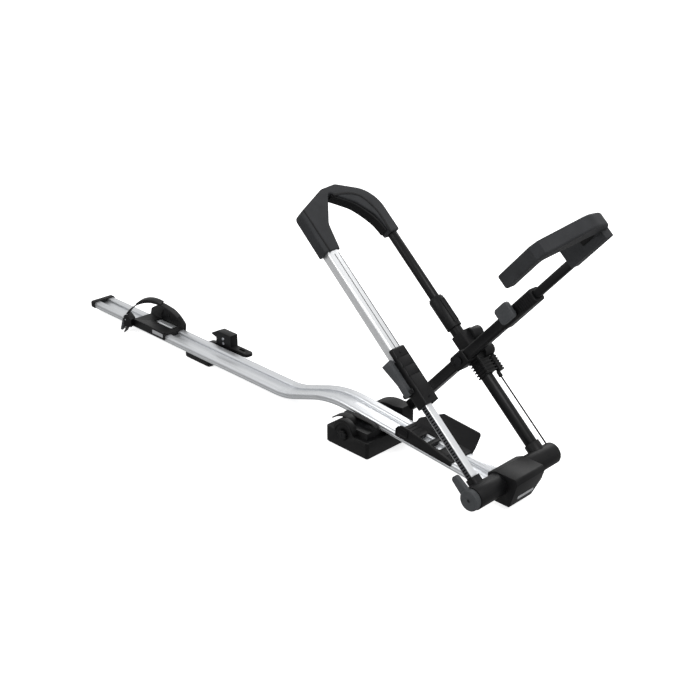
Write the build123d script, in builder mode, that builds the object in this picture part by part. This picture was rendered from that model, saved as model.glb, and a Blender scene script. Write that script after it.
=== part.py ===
from build123d import *
import math
import os

os.makedirs("parts", exist_ok=True)

# Roof mounted bike carrier, in millimetres.
# X runs forward along the wheel tray, Y runs across to the far side, Z is up.
# The origin is the middle of the front foot's underside, where it sits on the load bar.

# Shared clearances
overrun = 10
running_gap = 0.05
slide_gap = 0.3
seat_gap = 0.3

# Wheel tray
tray_rear_x = -1174
tray_front_x = 386
rear_deck_z = 19
hump_foot_x = -282
hump_top_x = -115
hump_top_z = 75.7
tray_front_z = 33.5
hump_foot_radius = 230
hump_top_radius = 310
tray_width = 72
tray_height = 17
tray_wall = 2
ridge_radius = 6
channel_width = 24
channel_depth = 9
slot_width = 9
slot_head_width = 17
slot_head_height = 4
groove_depth = 0.8
groove_height = 1.6

# Hinge shaft, legs and arm
shaft_x = 417
shaft_z = 59
shaft_radius = 12
leg_angle = 41.74
arm_pivot_reach = 288
pivot_rise = 57

front_slope = (tray_front_z - hump_top_z) / (tray_front_x - hump_top_x)
front_turn = math.atan(front_slope)
leg_turn = math.radians(leg_angle)
across = Vector(0, 1, 0)
deck_along = Vector(math.cos(front_turn), 0, math.sin(front_turn))
deck_up = Vector(-math.sin(front_turn), 0, math.cos(front_turn))
leg_along = Vector(-math.cos(leg_turn), 0, math.sin(leg_turn))
leg_out = Vector(math.sin(leg_turn), 0, math.cos(leg_turn))
shaft_point = Vector(shaft_x, 0, shaft_z)
arm_pivot = shaft_point + leg_along * arm_pivot_reach
pivot_top_reach = arm_pivot_reach + pivot_rise
out_axis = Axis(origin=(0, 0, 0), direction=leg_out)


def tray_underside(x):
    """Height of the tray's underside on its sloping front run."""
    return hump_top_z + (x - hump_top_x) * front_slope


def side_at(y):
    """Upright plane along the carrier: X forward, Y up, facing the near side."""
    return Plane(origin=(0, y, 0), x_dir=(1, 0, 0), z_dir=(0, -1, 0))


def cross_at(x, z=0):
    """Upright plane across the carrier: X to the far side, Y up, facing forward."""
    return Plane(origin=(x, 0, z), x_dir=(0, 1, 0), z_dir=(1, 0, 0))


def deck_at(x, height=0, y=0):
    """Plane on the sloping run: X along it, Y to the far side, facing up from it."""
    place = Vector(x, y, tray_underside(x)) + deck_up * height
    return Plane(origin=place, x_dir=deck_along, z_dir=deck_up)


def deck_cross(x):
    """Plane square to the sloping run: X to the far side, Y up from the tray's underside."""
    return Plane(origin=(x, 0, tray_underside(x)), x_dir=across, z_dir=deck_along)


def deck_side(x, y):
    """Plane beside the sloping run: X along it, Y up from it, facing the near side."""
    return Plane(origin=(x, y, tray_underside(x)), x_dir=deck_along, z_dir=-across)


def leg_section(y, reach, out=0):
    """Plane square to a leg, facing the shaft: X to the far side, Y out of the hoop."""
    place = shaft_point + leg_along * reach + across * y + leg_out * out
    return Plane(origin=place, x_dir=across, z_dir=-leg_along)


def leg_side(y):
    """Plane beside a leg: X up the leg, Y out of the hoop, facing the far side."""
    return Plane(origin=shaft_point + across * y, x_dir=leg_along, z_dir=across)


def hoop_face(out):
    """Plane of the hoop, a distance out of it: X to the far side, Y up the legs."""
    return Plane(origin=shaft_point + leg_out * out, x_dir=across, z_dir=leg_out)


def shaft_section(y):
    """Plane square to the hinge shaft, facing the near side: X forward, Y up."""
    return Plane(origin=shaft_point + across * y, x_dir=(1, 0, 0), z_dir=-across)


def arm_section(up, y):
    """Plane square to the arm, facing its hook: X to the far side, Y up the legs."""
    return Plane(origin=arm_pivot + leg_out * up + across * y, x_dir=across, z_dir=leg_out)


def arm_side(y):
    """Plane beside the arm: X up the arm, Y back along the legs, facing the near side."""
    return Plane(origin=arm_pivot + across * y, x_dir=leg_out, z_dir=-across)


def hook_face(forward):
    """Plane of the hook, a distance in front of the arm: X to the far side, Y up the arm."""
    return Plane(origin=arm_pivot - leg_along * forward, x_dir=across, z_dir=-leg_along)


def tray_outline(grow=0):
    """Outside of the tray's section, grown all round by a wall or a clearance."""
    with BuildSketch() as outline:
        with Locations((0, -grow)):
            Rectangle(tray_width + 2 * grow, tray_height + 2 * grow,
                      align=(Align.CENTER, Align.MIN))
        with Locations((0, tray_height + grow)):
            Rectangle(channel_width - 2 * grow, channel_depth,
                      align=(Align.CENTER, Align.MAX), mode=Mode.SUBTRACT)
        fillet(outline.vertices().group_by(Axis.Y)[-1], ridge_radius + grow)
    return outline.sketch


# Wheel tray: one hollow extrusion with two ridges, bent up over the front foot
ridge_width = (tray_width - channel_width) / 2
ridge_middle = (channel_width + ridge_width) / 2
bore_width = ridge_width - 2 * tray_wall
bore_height = tray_height - 2 * tray_wall
bore_radius = ridge_radius - tray_wall
groove_level = tray_height * 0.4
with BuildPart() as wheel_tray:
    with BuildLine(side_at(0)) as tray_run:
        FilletPolyline((tray_rear_x, rear_deck_z), (hump_foot_x, rear_deck_z),
                       (hump_top_x, hump_top_z), (tray_front_x, tray_front_z),
                       radius=[hump_foot_radius, hump_top_radius])
    with BuildSketch(cross_at(tray_rear_x, rear_deck_z)):
        add(tray_outline())
        with Locations((-ridge_middle, tray_height / 2), (ridge_middle, tray_height / 2)):
            RectangleRounded(bore_width, bore_height, bore_radius, mode=Mode.SUBTRACT)
        with Locations((0, tray_wall)):
            Rectangle(slot_head_width, slot_head_height,
                      align=(Align.CENTER, Align.MIN), mode=Mode.SUBTRACT)
        Rectangle(slot_width, 2 * tray_wall, mode=Mode.SUBTRACT)
        with Locations((-tray_width / 2, groove_level), (tray_width / 2, groove_level)):
            Rectangle(2 * groove_depth, groove_height, mode=Mode.SUBTRACT)
    sweep(path=tray_run.wire())
wheel_tray.part.label = "wheel_tray"
export_step(wheel_tray.part, "parts/wheel_tray.step")

# End cap over the tray's rear end
cap_wall = 2.5
cap_end = 4
cap_length = 13
cap_edge_radius = 1.2
with BuildPart() as tray_end_cap:
    with BuildSketch(cross_at(tray_rear_x - cap_end, rear_deck_z - cap_wall)):
        RectangleRounded(tray_width + 2 * cap_wall, tray_height + 2 * cap_wall, ridge_radius,
                         align=(Align.CENTER, Align.MIN))
    extrude(amount=cap_length + cap_end)
    fillet(tray_end_cap.faces().sort_by(Axis.X)[0].edges(), cap_edge_radius)
    with BuildSketch(cross_at(tray_rear_x - seat_gap, rear_deck_z)):
        add(tray_outline(seat_gap / 2))
    extrude(amount=cap_length + overrun, mode=Mode.SUBTRACT)
tray_end_cap.part.label = "tray_end_cap"
export_step(tray_end_cap.part, "parts/tray_end_cap.step")

# Front foot: a moulded base on the load bar, with a saddle up to the tray
foot_rear_x = -70
foot_front_x = 72
foot_near_y = -90
foot_far_y = 66
foot_height = 45
foot_pad_height = 4
foot_corner_radius = 8
foot_edge_radius = 3
saddle_rear_x = -48
saddle_front_x = 56
saddle_half_width = 33
tower_near_y = -76
tower_rear_x = -40
tower_front_x = 58
tower_height = 60
foot_length = foot_front_x - foot_rear_x
foot_width = foot_far_y - foot_near_y
foot_middle = (foot_far_y + foot_near_y) / 2
foot_centre = (foot_front_x + foot_rear_x) / 2
knob_x = -9
knob_z = 40
knob_radius = 14
knob_seat_depth = 6
boss_radius = 33
boss_rise = 6
boss_depth = 16
bolt_radius = 4
bolt_gap = 0.3
foot_bolt_places = (-22, 30)
bar_band_radius = 22
with BuildPart() as front_foot_base:
    with BuildSketch(Plane.XY.offset(foot_pad_height)):
        with Locations((foot_centre, foot_middle)):
            RectangleRounded(foot_length, foot_width, foot_corner_radius)
    extrude(amount=foot_height - foot_pad_height)
    fillet(front_foot_base.faces().sort_by(Axis.Z)[-1].edges(), foot_edge_radius)
    with BuildSketch(side_at(saddle_half_width)):
        with BuildLine():
            Polyline((saddle_rear_x, foot_height - overrun),
                     (saddle_rear_x, tray_underside(saddle_rear_x)),
                     (saddle_front_x, tray_underside(saddle_front_x)),
                     (saddle_front_x, foot_height - overrun), close=True)
        make_face()
    extrude(amount=2 * saddle_half_width)
    with BuildSketch(side_at(-saddle_half_width)):
        with BuildLine():
            Polyline((tower_rear_x, foot_height - overrun), (tower_rear_x, foot_height),
                     (tower_rear_x + bar_band_radius, tower_height),
                     (tower_front_x, tray_underside(tower_front_x) - seat_gap),
                     (tower_front_x, foot_height - overrun), close=True)
        make_face()
    extrude(amount=-saddle_half_width - tower_near_y)
    fillet(front_foot_base.edges().filter_by(Axis.Y).group_by(Axis.Z)[-1], foot_edge_radius)
    with BuildSketch(side_at(foot_near_y + boss_depth)):
        with Locations((knob_x, knob_z + boss_rise)):
            Circle(boss_radius)
        with Locations((knob_x, foot_height - overrun)):
            Rectangle(2 * boss_radius + overrun, overrun)
    extrude(amount=boss_depth)
    with BuildSketch(side_at(foot_near_y - overrun)):
        with Locations((knob_x, knob_z)):
            Circle(knob_radius + slide_gap)
    extrude(amount=-overrun - knob_seat_depth, mode=Mode.SUBTRACT)
    with BuildSketch(deck_at(0)):
        with Locations(*[(x, 0) for x in foot_bolt_places]):
            Circle(bolt_radius + bolt_gap)
    extrude(amount=-2 * foot_height, mode=Mode.SUBTRACT)
front_foot_base.part.label = "front_foot_base"
export_step(front_foot_base.part, "parts/front_foot_base.step")

# Rubber pad under the front foot, on the load bar
pad_inset = 3
with BuildPart() as front_foot_pad:
    with BuildSketch(Plane.XY):
        with Locations((foot_centre, foot_middle)):
            RectangleRounded(foot_length - 2 * pad_inset, foot_width - 2 * pad_inset,
                             foot_corner_radius - pad_inset)
    extrude(amount=foot_pad_height)
front_foot_pad.part.label = "front_foot_pad"
export_step(front_foot_pad.part, "parts/front_foot_pad.step")

# Tee bolts that hold the front foot in the tray's slot
tee_head_width = slot_head_width - 2 * slide_gap
tee_head_height = slot_head_height - 2 * slide_gap
tee_bolt_length = 26
with BuildPart() as front_foot_bolts:
    for bolt_x in foot_bolt_places:
        with BuildSketch(deck_at(0, tray_wall + slide_gap)):
            with Locations((bolt_x, 0)):
                Rectangle(tee_head_width, tee_head_width)
        extrude(amount=tee_head_height)
        with BuildSketch(deck_at(0, tray_wall + slide_gap)):
            with Locations((bolt_x, 0)):
                Circle(bolt_radius)
        extrude(amount=-tee_bolt_length)
front_foot_bolts.part.label = "front_foot_bolts"
export_step(front_foot_bolts.part, "parts/front_foot_bolts.step")

# Clamp knob on the front foot's near face, with grip lobes and a lock in its middle
knob_height = 12
knob_lobes = 8
lobe_radius = 2.5
lock_radius = 6
lock_depth = 5
key_slot_width = 1.6
knob_front_y = foot_near_y + knob_seat_depth - seat_gap - knob_height
with BuildPart() as clamp_knob:
    with BuildSketch(side_at(knob_front_y)):
        with Locations((knob_x, knob_z)):
            Circle(knob_radius)
            with PolarLocations(knob_radius, knob_lobes):
                Circle(lobe_radius, mode=Mode.SUBTRACT)
    extrude(amount=-knob_height)
    chamfer(clamp_knob.faces().sort_by(Axis.Y)[0].edges(), lobe_radius / 4)
    with BuildSketch(side_at(knob_front_y)):
        with Locations((knob_x, knob_z)):
            Circle(lock_radius + running_gap)
    extrude(amount=-lock_depth, mode=Mode.SUBTRACT)
clamp_knob.part.label = "clamp_knob"
export_step(clamp_knob.part, "parts/clamp_knob.step")

# Lock cylinder with its key slot
with BuildPart() as lock_cylinder:
    with BuildSketch(side_at(knob_front_y)):
        with Locations((knob_x, knob_z)):
            Circle(lock_radius)
    extrude(amount=-lock_depth)
    with BuildSketch(side_at(knob_front_y)):
        with Locations((knob_x, knob_z)):
            Rectangle(key_slot_width, lock_radius)
    extrude(amount=-lock_depth / 2, mode=Mode.SUBTRACT)
lock_cylinder.part.label = "lock_cylinder"
export_step(lock_cylinder.part, "parts/lock_cylinder.step")

# Arm rest: a horn on the foot's far side that the folding arm's end leans on
rest_tip_x = -74
rest_tip_z = 42
rest_front_x = 40
rest_top_z = 73
rest_crown_x = 8
rest_crown_z = 68
rest_foot_rear_x = -20
rest_width = 42
rest_edge_radius = 2
rest_far_y = foot_far_y + rest_width
with BuildPart() as arm_rest:
    with BuildSketch(side_at(rest_far_y)):
        with BuildLine():
            Polyline((rest_front_x, foot_pad_height), (rest_front_x, rest_top_z),
                     (rest_crown_x, rest_crown_z))
            ThreePointArc((rest_crown_x, rest_crown_z),
                          ((rest_crown_x + rest_tip_x) / 2, rest_crown_z * 0.85 + rest_tip_z * 0.15),
                          (rest_tip_x, rest_tip_z))
            Polyline((rest_tip_x, rest_tip_z), (rest_foot_rear_x, foot_height * 0.9),
                     (rest_foot_rear_x, foot_pad_height), (rest_front_x, foot_pad_height))
        make_face()
    extrude(amount=rest_width)
    fillet(arm_rest.faces().sort_by(Axis.Y)[-1].edges(), rest_edge_radius)
arm_rest.part.label = "arm_rest"
export_step(arm_rest.part, "parts/arm_rest.step")

# Rear foot: a low plate under the tray with a rubber pad and a clamp bracket
rear_foot_rear_x = -712
rear_foot_front_x = -602
rear_foot_near_y = -34
rear_foot_far_y = 74
rear_pad_height = 4
rear_foot_radius = 10
rear_bolt_places = (-680, -628)
rear_foot_length = rear_foot_front_x - rear_foot_rear_x
rear_foot_width = rear_foot_far_y - rear_foot_near_y
rear_foot_centre = (rear_foot_front_x + rear_foot_rear_x) / 2
rear_foot_middle = (rear_foot_far_y + rear_foot_near_y) / 2
with BuildPart() as rear_foot_base:
    with BuildSketch(Plane.XY.offset(rear_pad_height)):
        with Locations((rear_foot_centre, rear_foot_middle)):
            RectangleRounded(rear_foot_length, rear_foot_width, rear_foot_radius)
    extrude(amount=rear_deck_z - rear_pad_height)
    with BuildSketch(Plane.XY):
        with Locations(*[(x, 0) for x in rear_bolt_places]):
            Circle(bolt_radius + bolt_gap)
    extrude(amount=rear_deck_z, mode=Mode.SUBTRACT)
rear_foot_base.part.label = "rear_foot_base"
export_step(rear_foot_base.part, "parts/rear_foot_base.step")

with BuildPart() as rear_foot_pad:
    with BuildSketch(Plane.XY):
        with Locations((rear_foot_centre, rear_foot_middle)):
            RectangleRounded(rear_foot_length - 2 * pad_inset, rear_foot_width - 2 * pad_inset,
                             rear_foot_radius - pad_inset)
    extrude(amount=rear_pad_height)
rear_foot_pad.part.label = "rear_foot_pad"
export_step(rear_foot_pad.part, "parts/rear_foot_pad.step")

rear_bolt_length = 14
with BuildPart() as rear_foot_bolts:
    head_level = rear_deck_z + tray_wall + slide_gap
    for bolt_x in rear_bolt_places:
        with BuildSketch(Plane.XY.offset(head_level)):
            with Locations((bolt_x, 0)):
                Rectangle(tee_head_width, tee_head_width)
        extrude(amount=tee_head_height)
        with BuildSketch(Plane.XY.offset(head_level)):
            with Locations((bolt_x, 0)):
                Circle(bolt_radius)
        extrude(amount=-rear_bolt_length)
rear_foot_bolts.part.label = "rear_foot_bolts"
export_step(rear_foot_bolts.part, "parts/rear_foot_bolts.step")

# Clamp bracket on the rear foot: a jaw open to the rear, with a slotted tail
jaw_rear_x = -692
jaw_front_x = -603
jaw_top_z = 70
jaw_step_z = 60
jaw_mouth_depth = 24
jaw_rise_x = -660
jaw_wall = 12
jaw_width = 26
jaw_tail_x = -534
jaw_tail_height = 9
jaw_tail_level = 26
jaw_slot_length = 24
jaw_slot_width = 8
jaw_far_y = rear_foot_far_y
with BuildPart() as rear_foot_bracket:
    with BuildSketch(side_at(jaw_far_y)):
        with BuildLine():
            Polyline((jaw_rear_x + jaw_wall, rear_deck_z), (jaw_rear_x, rear_deck_z + jaw_wall / 2),
                     (jaw_rear_x + jaw_mouth_depth, rear_deck_z + jaw_wall),
                     (jaw_rear_x + jaw_mouth_depth, jaw_step_z - jaw_wall),
                     (jaw_rear_x, jaw_step_z - jaw_wall / 2), (jaw_rear_x + jaw_wall, jaw_step_z),
                     (jaw_rise_x, jaw_top_z),
                     (jaw_front_x, jaw_top_z), (jaw_front_x, jaw_tail_level + jaw_tail_height),
                     (jaw_tail_x, jaw_tail_level + jaw_tail_height), (jaw_tail_x, jaw_tail_level),
                     (jaw_front_x, rear_deck_z), close=True)
        make_face()
    extrude(amount=jaw_width)
    fillet(rear_foot_bracket.edges().filter_by(Axis.Z).group_by(Axis.X)[-1], jaw_width / 3)
    with BuildSketch(Plane.XY.offset(jaw_tail_level - overrun)):
        with Locations(((jaw_tail_x + jaw_front_x) / 2, jaw_far_y - jaw_width / 2)):
            SlotOverall(jaw_slot_length, jaw_slot_width)
    extrude(amount=jaw_tail_height + 2 * overrun, mode=Mode.SUBTRACT)
rear_foot_bracket.part.label = "rear_foot_bracket"
export_step(rear_foot_bracket.part, "parts/rear_foot_bracket.step")

# Pivot housing: carries the hinge shaft and plugs into the tray's front end
housing_near_y = -32
housing_far_y = 66
housing_rear_x = 388
housing_front_x = 470
housing_top_z = 88
housing_bottom_z = 14
housing_brow_z = 76
housing_chin_x = 452
housing_edge_radius = 5
housing_cut_width = 22
housing_cut_height = 38
tongue_length = 34
tongue_gap = 0.4
tongue_width = bore_width - 2 * tongue_gap
tongue_height = bore_height - 2 * tongue_gap
tongue_inset = 3
with BuildPart() as pivot_housing:
    with BuildSketch(side_at(housing_far_y)) as housing_profile:
        with BuildLine():
            Polyline((housing_rear_x, housing_bottom_z + 2 * housing_edge_radius),
                     (housing_rear_x, housing_top_z - 2 * housing_edge_radius),
                     (housing_rear_x + 4 * housing_edge_radius, housing_top_z),
                     (housing_front_x - housing_edge_radius, housing_top_z),
                     (housing_front_x, housing_brow_z), (housing_chin_x, housing_bottom_z),
                     (housing_rear_x + 4 * housing_edge_radius, housing_bottom_z), close=True)
        make_face()
        fillet(housing_profile.vertices(), housing_edge_radius)
    extrude(amount=housing_far_y - housing_near_y)
    with BuildSketch(cross_at(housing_rear_x)):
        with BuildLine():
            Polyline((housing_far_y + overrun, housing_bottom_z - overrun),
                     (housing_far_y + overrun, housing_bottom_z + housing_cut_height),
                     (housing_far_y, housing_bottom_z + housing_cut_height),
                     (housing_far_y - housing_cut_width, housing_bottom_z),
                     (housing_far_y - housing_cut_width, housing_bottom_z - overrun), close=True)
        make_face()
    extrude(amount=housing_front_x - housing_rear_x, mode=Mode.SUBTRACT)
    with BuildSketch(deck_cross(tray_front_x - tongue_length)):
        with Locations((ridge_middle, tray_height / 2)):
            RectangleRounded(tongue_width, tongue_height, bore_radius - tongue_gap)
        with Locations((-ridge_middle + tongue_inset / 2, tray_height / 2)):
            RectangleRounded(tongue_width - tongue_inset, tongue_height, bore_radius - tongue_gap)
    extrude(amount=tongue_length + housing_edge_radius)
    with BuildSketch(shaft_section(housing_far_y + overrun)):
        Circle(shaft_radius + running_gap)
    extrude(amount=housing_far_y - housing_near_y + 2 * overrun, mode=Mode.SUBTRACT)
pivot_housing.part.label = "pivot_housing"
export_step(pivot_housing.part, "parts/pivot_housing.step")

# Hinge shaft right through the housing and both barrels
barrel_near_y = -118
barrel_far_y = 169
shaft_cap_wall = 4
shaft_near_y = barrel_near_y + shaft_cap_wall
shaft_far_y = barrel_far_y - shaft_cap_wall
with BuildPart() as hinge_shaft:
    with BuildSketch(shaft_section(shaft_far_y)):
        Circle(shaft_radius)
    extrude(amount=shaft_far_y - shaft_near_y)
    chamfer(hinge_shaft.edges(), shaft_radius / 12)
hinge_shaft.part.label = "hinge_shaft"
export_step(hinge_shaft.part, "parts/hinge_shaft.step")

# Near leg: a square inner tube with a rack, standing in the near barrel
near_barrel_radius = 26.5
inner_y = -84
inner_out = -1
inner_width = 19
inner_depth = 20
inner_wall = 2
inner_low_reach = 20
inner_top_reach = 560
inner_radius = 2
socket_wall = 4
socket_reach = 40
rack_width = 16
rack_depth = 4
rack_low_reach = 30
rack_top_reach = 548
rack_pitch = 7
rack_tooth = 3.6
rack_tooth_depth = 2.6
inner_near_y = inner_y - inner_width / 2


def inner_outline(grow=0):
    """Section of the near leg's inner tube, grown all round."""
    with BuildSketch() as outline:
        RectangleRounded(inner_width + 2 * grow, inner_depth + 2 * grow, inner_radius + grow)
    return outline.sketch


with BuildPart() as near_leg_inner:
    with BuildSketch(leg_section(inner_y, inner_top_reach, inner_out)):
        add(inner_outline())
        Rectangle(inner_width - 2 * rack_depth - 2 * inner_wall, inner_depth - 2 * inner_wall,
                  mode=Mode.SUBTRACT)
    extrude(amount=inner_top_reach - inner_low_reach)
    with BuildSketch(leg_section(inner_near_y, rack_top_reach, inner_out)):
        Rectangle(2 * rack_depth, rack_width)
    extrude(amount=rack_top_reach - rack_low_reach, mode=Mode.SUBTRACT)
    with BuildSketch(shaft_section(inner_y + inner_width)):
        Circle(shaft_radius + slide_gap)
    extrude(amount=2 * inner_width, mode=Mode.SUBTRACT)
near_leg_inner.part.label = "near_leg_inner"
export_step(near_leg_inner.part, "parts/near_leg_inner.step")

# Rack let into the near face of the inner tube, toothed for the carriage's pawl
rack_run = rack_top_reach - rack_low_reach - 2 * rack_pitch
rack_count = int(rack_run / rack_pitch)
with BuildPart() as near_leg_rack:
    with BuildSketch(leg_side(inner_near_y + rack_depth)):
        with Locations(((rack_low_reach + rack_top_reach) / 2, inner_out)):
            Rectangle(rack_top_reach - rack_low_reach - 2 * seat_gap, rack_width)
    extrude(amount=-rack_depth)
    with BuildSketch(leg_side(inner_near_y)):
        with Locations(((rack_low_reach + rack_top_reach) / 2, inner_out)):
            with GridLocations(rack_pitch, 0, rack_count, 1):
                Rectangle(rack_tooth, rack_width * 0.7)
    extrude(amount=rack_tooth_depth, mode=Mode.SUBTRACT)
near_leg_rack.part.label = "near_leg_rack"
export_step(near_leg_rack.part, "parts/near_leg_rack.step")

# Near barrel on the shaft, with the socket that holds the near leg
with BuildPart() as near_barrel:
    with BuildSketch(shaft_section(housing_near_y - seat_gap)):
        Circle(near_barrel_radius)
    extrude(amount=housing_near_y - seat_gap - barrel_near_y)
    with BuildSketch(leg_section(inner_y, socket_reach, inner_out)):
        add(inner_outline(socket_wall))
    extrude(amount=socket_reach)
    with BuildSketch(leg_section(inner_y, socket_reach + overrun, inner_out)):
        add(inner_outline(running_gap))
    extrude(amount=socket_reach + overrun - inner_low_reach, mode=Mode.SUBTRACT)
    with BuildSketch(shaft_section(housing_near_y + overrun)):
        Circle(shaft_radius + running_gap)
    extrude(amount=housing_near_y + overrun - shaft_near_y, mode=Mode.SUBTRACT)
near_barrel.part.label = "near_barrel"
export_step(near_barrel.part, "parts/near_barrel.step")

# Lever on the near end of the shaft
lever_hub_radius = 24.5
lever_hub_width = 14
lever_gap = 0.5
paddle_reach = 62
paddle_tip_radius = 9
paddle_root_half = 13
paddle_angle = 141
key_hole_radius = 4
lever_face_y = barrel_near_y - lever_gap
paddle_turn = math.radians(paddle_angle)
paddle_plane = Plane(origin=shaft_point + across * lever_face_y, z_dir=-across,
                     x_dir=(math.cos(paddle_turn), 0, math.sin(paddle_turn)))
with BuildPart() as shaft_lever:
    with BuildSketch(shaft_section(lever_face_y)):
        Circle(lever_hub_radius)
    extrude(amount=lever_hub_width)
    fillet(shaft_lever.faces().sort_by(Axis.Y)[0].edges(), lever_hub_width / 5)
    with BuildSketch(paddle_plane):
        with BuildLine():
            Polyline((0, paddle_root_half), (paddle_reach - paddle_tip_radius, paddle_tip_radius))
            ThreePointArc((paddle_reach - paddle_tip_radius, paddle_tip_radius),
                          (paddle_reach, 0),
                          (paddle_reach - paddle_tip_radius, -paddle_tip_radius))
            Polyline((paddle_reach - paddle_tip_radius, -paddle_tip_radius),
                     (0, -paddle_root_half), (0, paddle_root_half))
        make_face()
    extrude(amount=lever_hub_width * 0.8)
    with BuildSketch(shaft_section(lever_face_y - lever_hub_width + key_hole_radius)):
        Circle(key_hole_radius)
    extrude(amount=2 * key_hole_radius, mode=Mode.SUBTRACT)
shaft_lever.part.label = "shaft_lever"
export_step(shaft_lever.part, "parts/shaft_lever.step")

# Far barrel on the shaft, with the socket that holds the far leg
far_barrel_radius = 26
far_y = 127
far_lower_radius = 15
far_upper_radius = 12
far_wall = 2
far_low_reach = 18
far_top_reach = 445
far_socket_reach = 42
far_edge_radius = 4
rod_y = 158
rod_out = 9
rod_radius = 2
rod_low_reach = 14
with BuildPart() as far_barrel:
    with BuildSketch(shaft_section(barrel_far_y)):
        Circle(far_barrel_radius)
    extrude(amount=barrel_far_y - housing_far_y - seat_gap)
    fillet(far_barrel.faces().sort_by(Axis.Y)[-1].edges(), far_edge_radius)
    with BuildSketch(leg_section(far_y, far_socket_reach)):
        Circle(far_lower_radius + socket_wall)
    extrude(amount=far_socket_reach)
    with BuildSketch(leg_section(far_y, far_socket_reach + overrun)):
        Circle(far_lower_radius + running_gap)
    extrude(amount=far_socket_reach + overrun - far_low_reach, mode=Mode.SUBTRACT)
    with BuildSketch(shaft_section(shaft_far_y + running_gap)):
        Circle(shaft_radius + running_gap)
    extrude(amount=shaft_far_y - housing_far_y + overrun, mode=Mode.SUBTRACT)
    with BuildSketch(leg_section(rod_y, far_barrel_radius + overrun, rod_out)):
        Circle(rod_radius + running_gap)
    extrude(amount=far_barrel_radius + overrun - rod_low_reach, mode=Mode.SUBTRACT)
far_barrel.part.label = "far_barrel"
export_step(far_barrel.part, "parts/far_barrel.step")

# Far leg, lower tube
arm_bolt_radius = 6
with BuildPart() as far_leg_lower:
    with BuildSketch(leg_section(far_y, far_top_reach)):
        Circle(far_lower_radius)
        Circle(far_lower_radius - far_wall, mode=Mode.SUBTRACT)
    extrude(amount=far_top_reach - far_low_reach)
    with BuildSketch(shaft_section(far_y + far_lower_radius + overrun)):
        Circle(shaft_radius + slide_gap)
    extrude(amount=2 * far_lower_radius + 2 * overrun, mode=Mode.SUBTRACT)
    with BuildSketch(leg_side(far_y - far_lower_radius - overrun)):
        with Locations((arm_pivot_reach, 0)):
            Circle(arm_bolt_radius + running_gap)
    extrude(amount=2 * far_lower_radius + 2 * overrun, mode=Mode.SUBTRACT)
far_leg_lower.part.label = "far_leg_lower"
export_step(far_leg_lower.part, "parts/far_leg_lower.step")

# Collar that guides the far leg's upper tube in the lower one
collar_gap = 19
collar_low_reach = pivot_top_reach + collar_gap
collar_top_reach = 450
collar_radius = 19
collar_taper = 2
with BuildPart() as far_leg_collar:
    with BuildSketch(leg_section(far_y, collar_top_reach)):
        Circle(collar_radius - collar_taper)
    extrude(amount=far_wall + collar_taper)
    with BuildSketch(leg_section(far_y, collar_top_reach - far_wall - collar_taper)):
        Circle(collar_radius)
    extrude(amount=collar_top_reach - far_wall - collar_taper - collar_low_reach)
    with BuildSketch(leg_section(far_y, far_top_reach)):
        Circle(far_lower_radius + running_gap)
    extrude(amount=far_top_reach - collar_low_reach + overrun, mode=Mode.SUBTRACT)
    with BuildSketch(leg_section(far_y, collar_top_reach + overrun)):
        Circle(far_upper_radius + slide_gap)
    extrude(amount=collar_top_reach - far_top_reach + 2 * overrun, mode=Mode.SUBTRACT)
far_leg_collar.part.label = "far_leg_collar"
export_step(far_leg_collar.part, "parts/far_leg_collar.step")

# Far leg, upper tube
upper_low_reach = 356
upper_top_reach = 652
with BuildPart() as far_leg_upper:
    with BuildSketch(leg_section(far_y, upper_top_reach)):
        Circle(far_upper_radius)
        Circle(far_upper_radius - far_wall, mode=Mode.SUBTRACT)
    extrude(amount=upper_top_reach - upper_low_reach)
far_leg_upper.part.label = "far_leg_upper"
export_step(far_leg_upper.part, "parts/far_leg_upper.step")

# Near leg, outer tube: slides over the inner one
outer_y = -79
outer_width = 34
outer_depth = 27
outer_wall = 2
outer_radius = 5
outer_low_reach = 232
outer_top_reach = 652
pawl_reach = (rack_low_reach + rack_top_reach - 3 * rack_pitch) / 2
pawl_length = 14
pawl_width = 8
with BuildPart() as near_leg_outer:
    with BuildSketch(leg_section(outer_y, outer_top_reach)):
        RectangleRounded(outer_width, outer_depth, outer_radius)
        RectangleRounded(outer_width - 2 * outer_wall, outer_depth - 2 * outer_wall,
                         outer_radius - outer_wall, mode=Mode.SUBTRACT)
    extrude(amount=outer_top_reach - outer_low_reach)
    with BuildSketch(leg_side(outer_y - outer_width)):
        with Locations((pawl_reach, inner_out)):
            Rectangle(2 * pawl_length, pawl_width + 4 * slide_gap)
    extrude(amount=outer_width, mode=Mode.SUBTRACT)
near_leg_outer.part.label = "near_leg_outer"
export_step(near_leg_outer.part, "parts/near_leg_outer.step")

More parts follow.
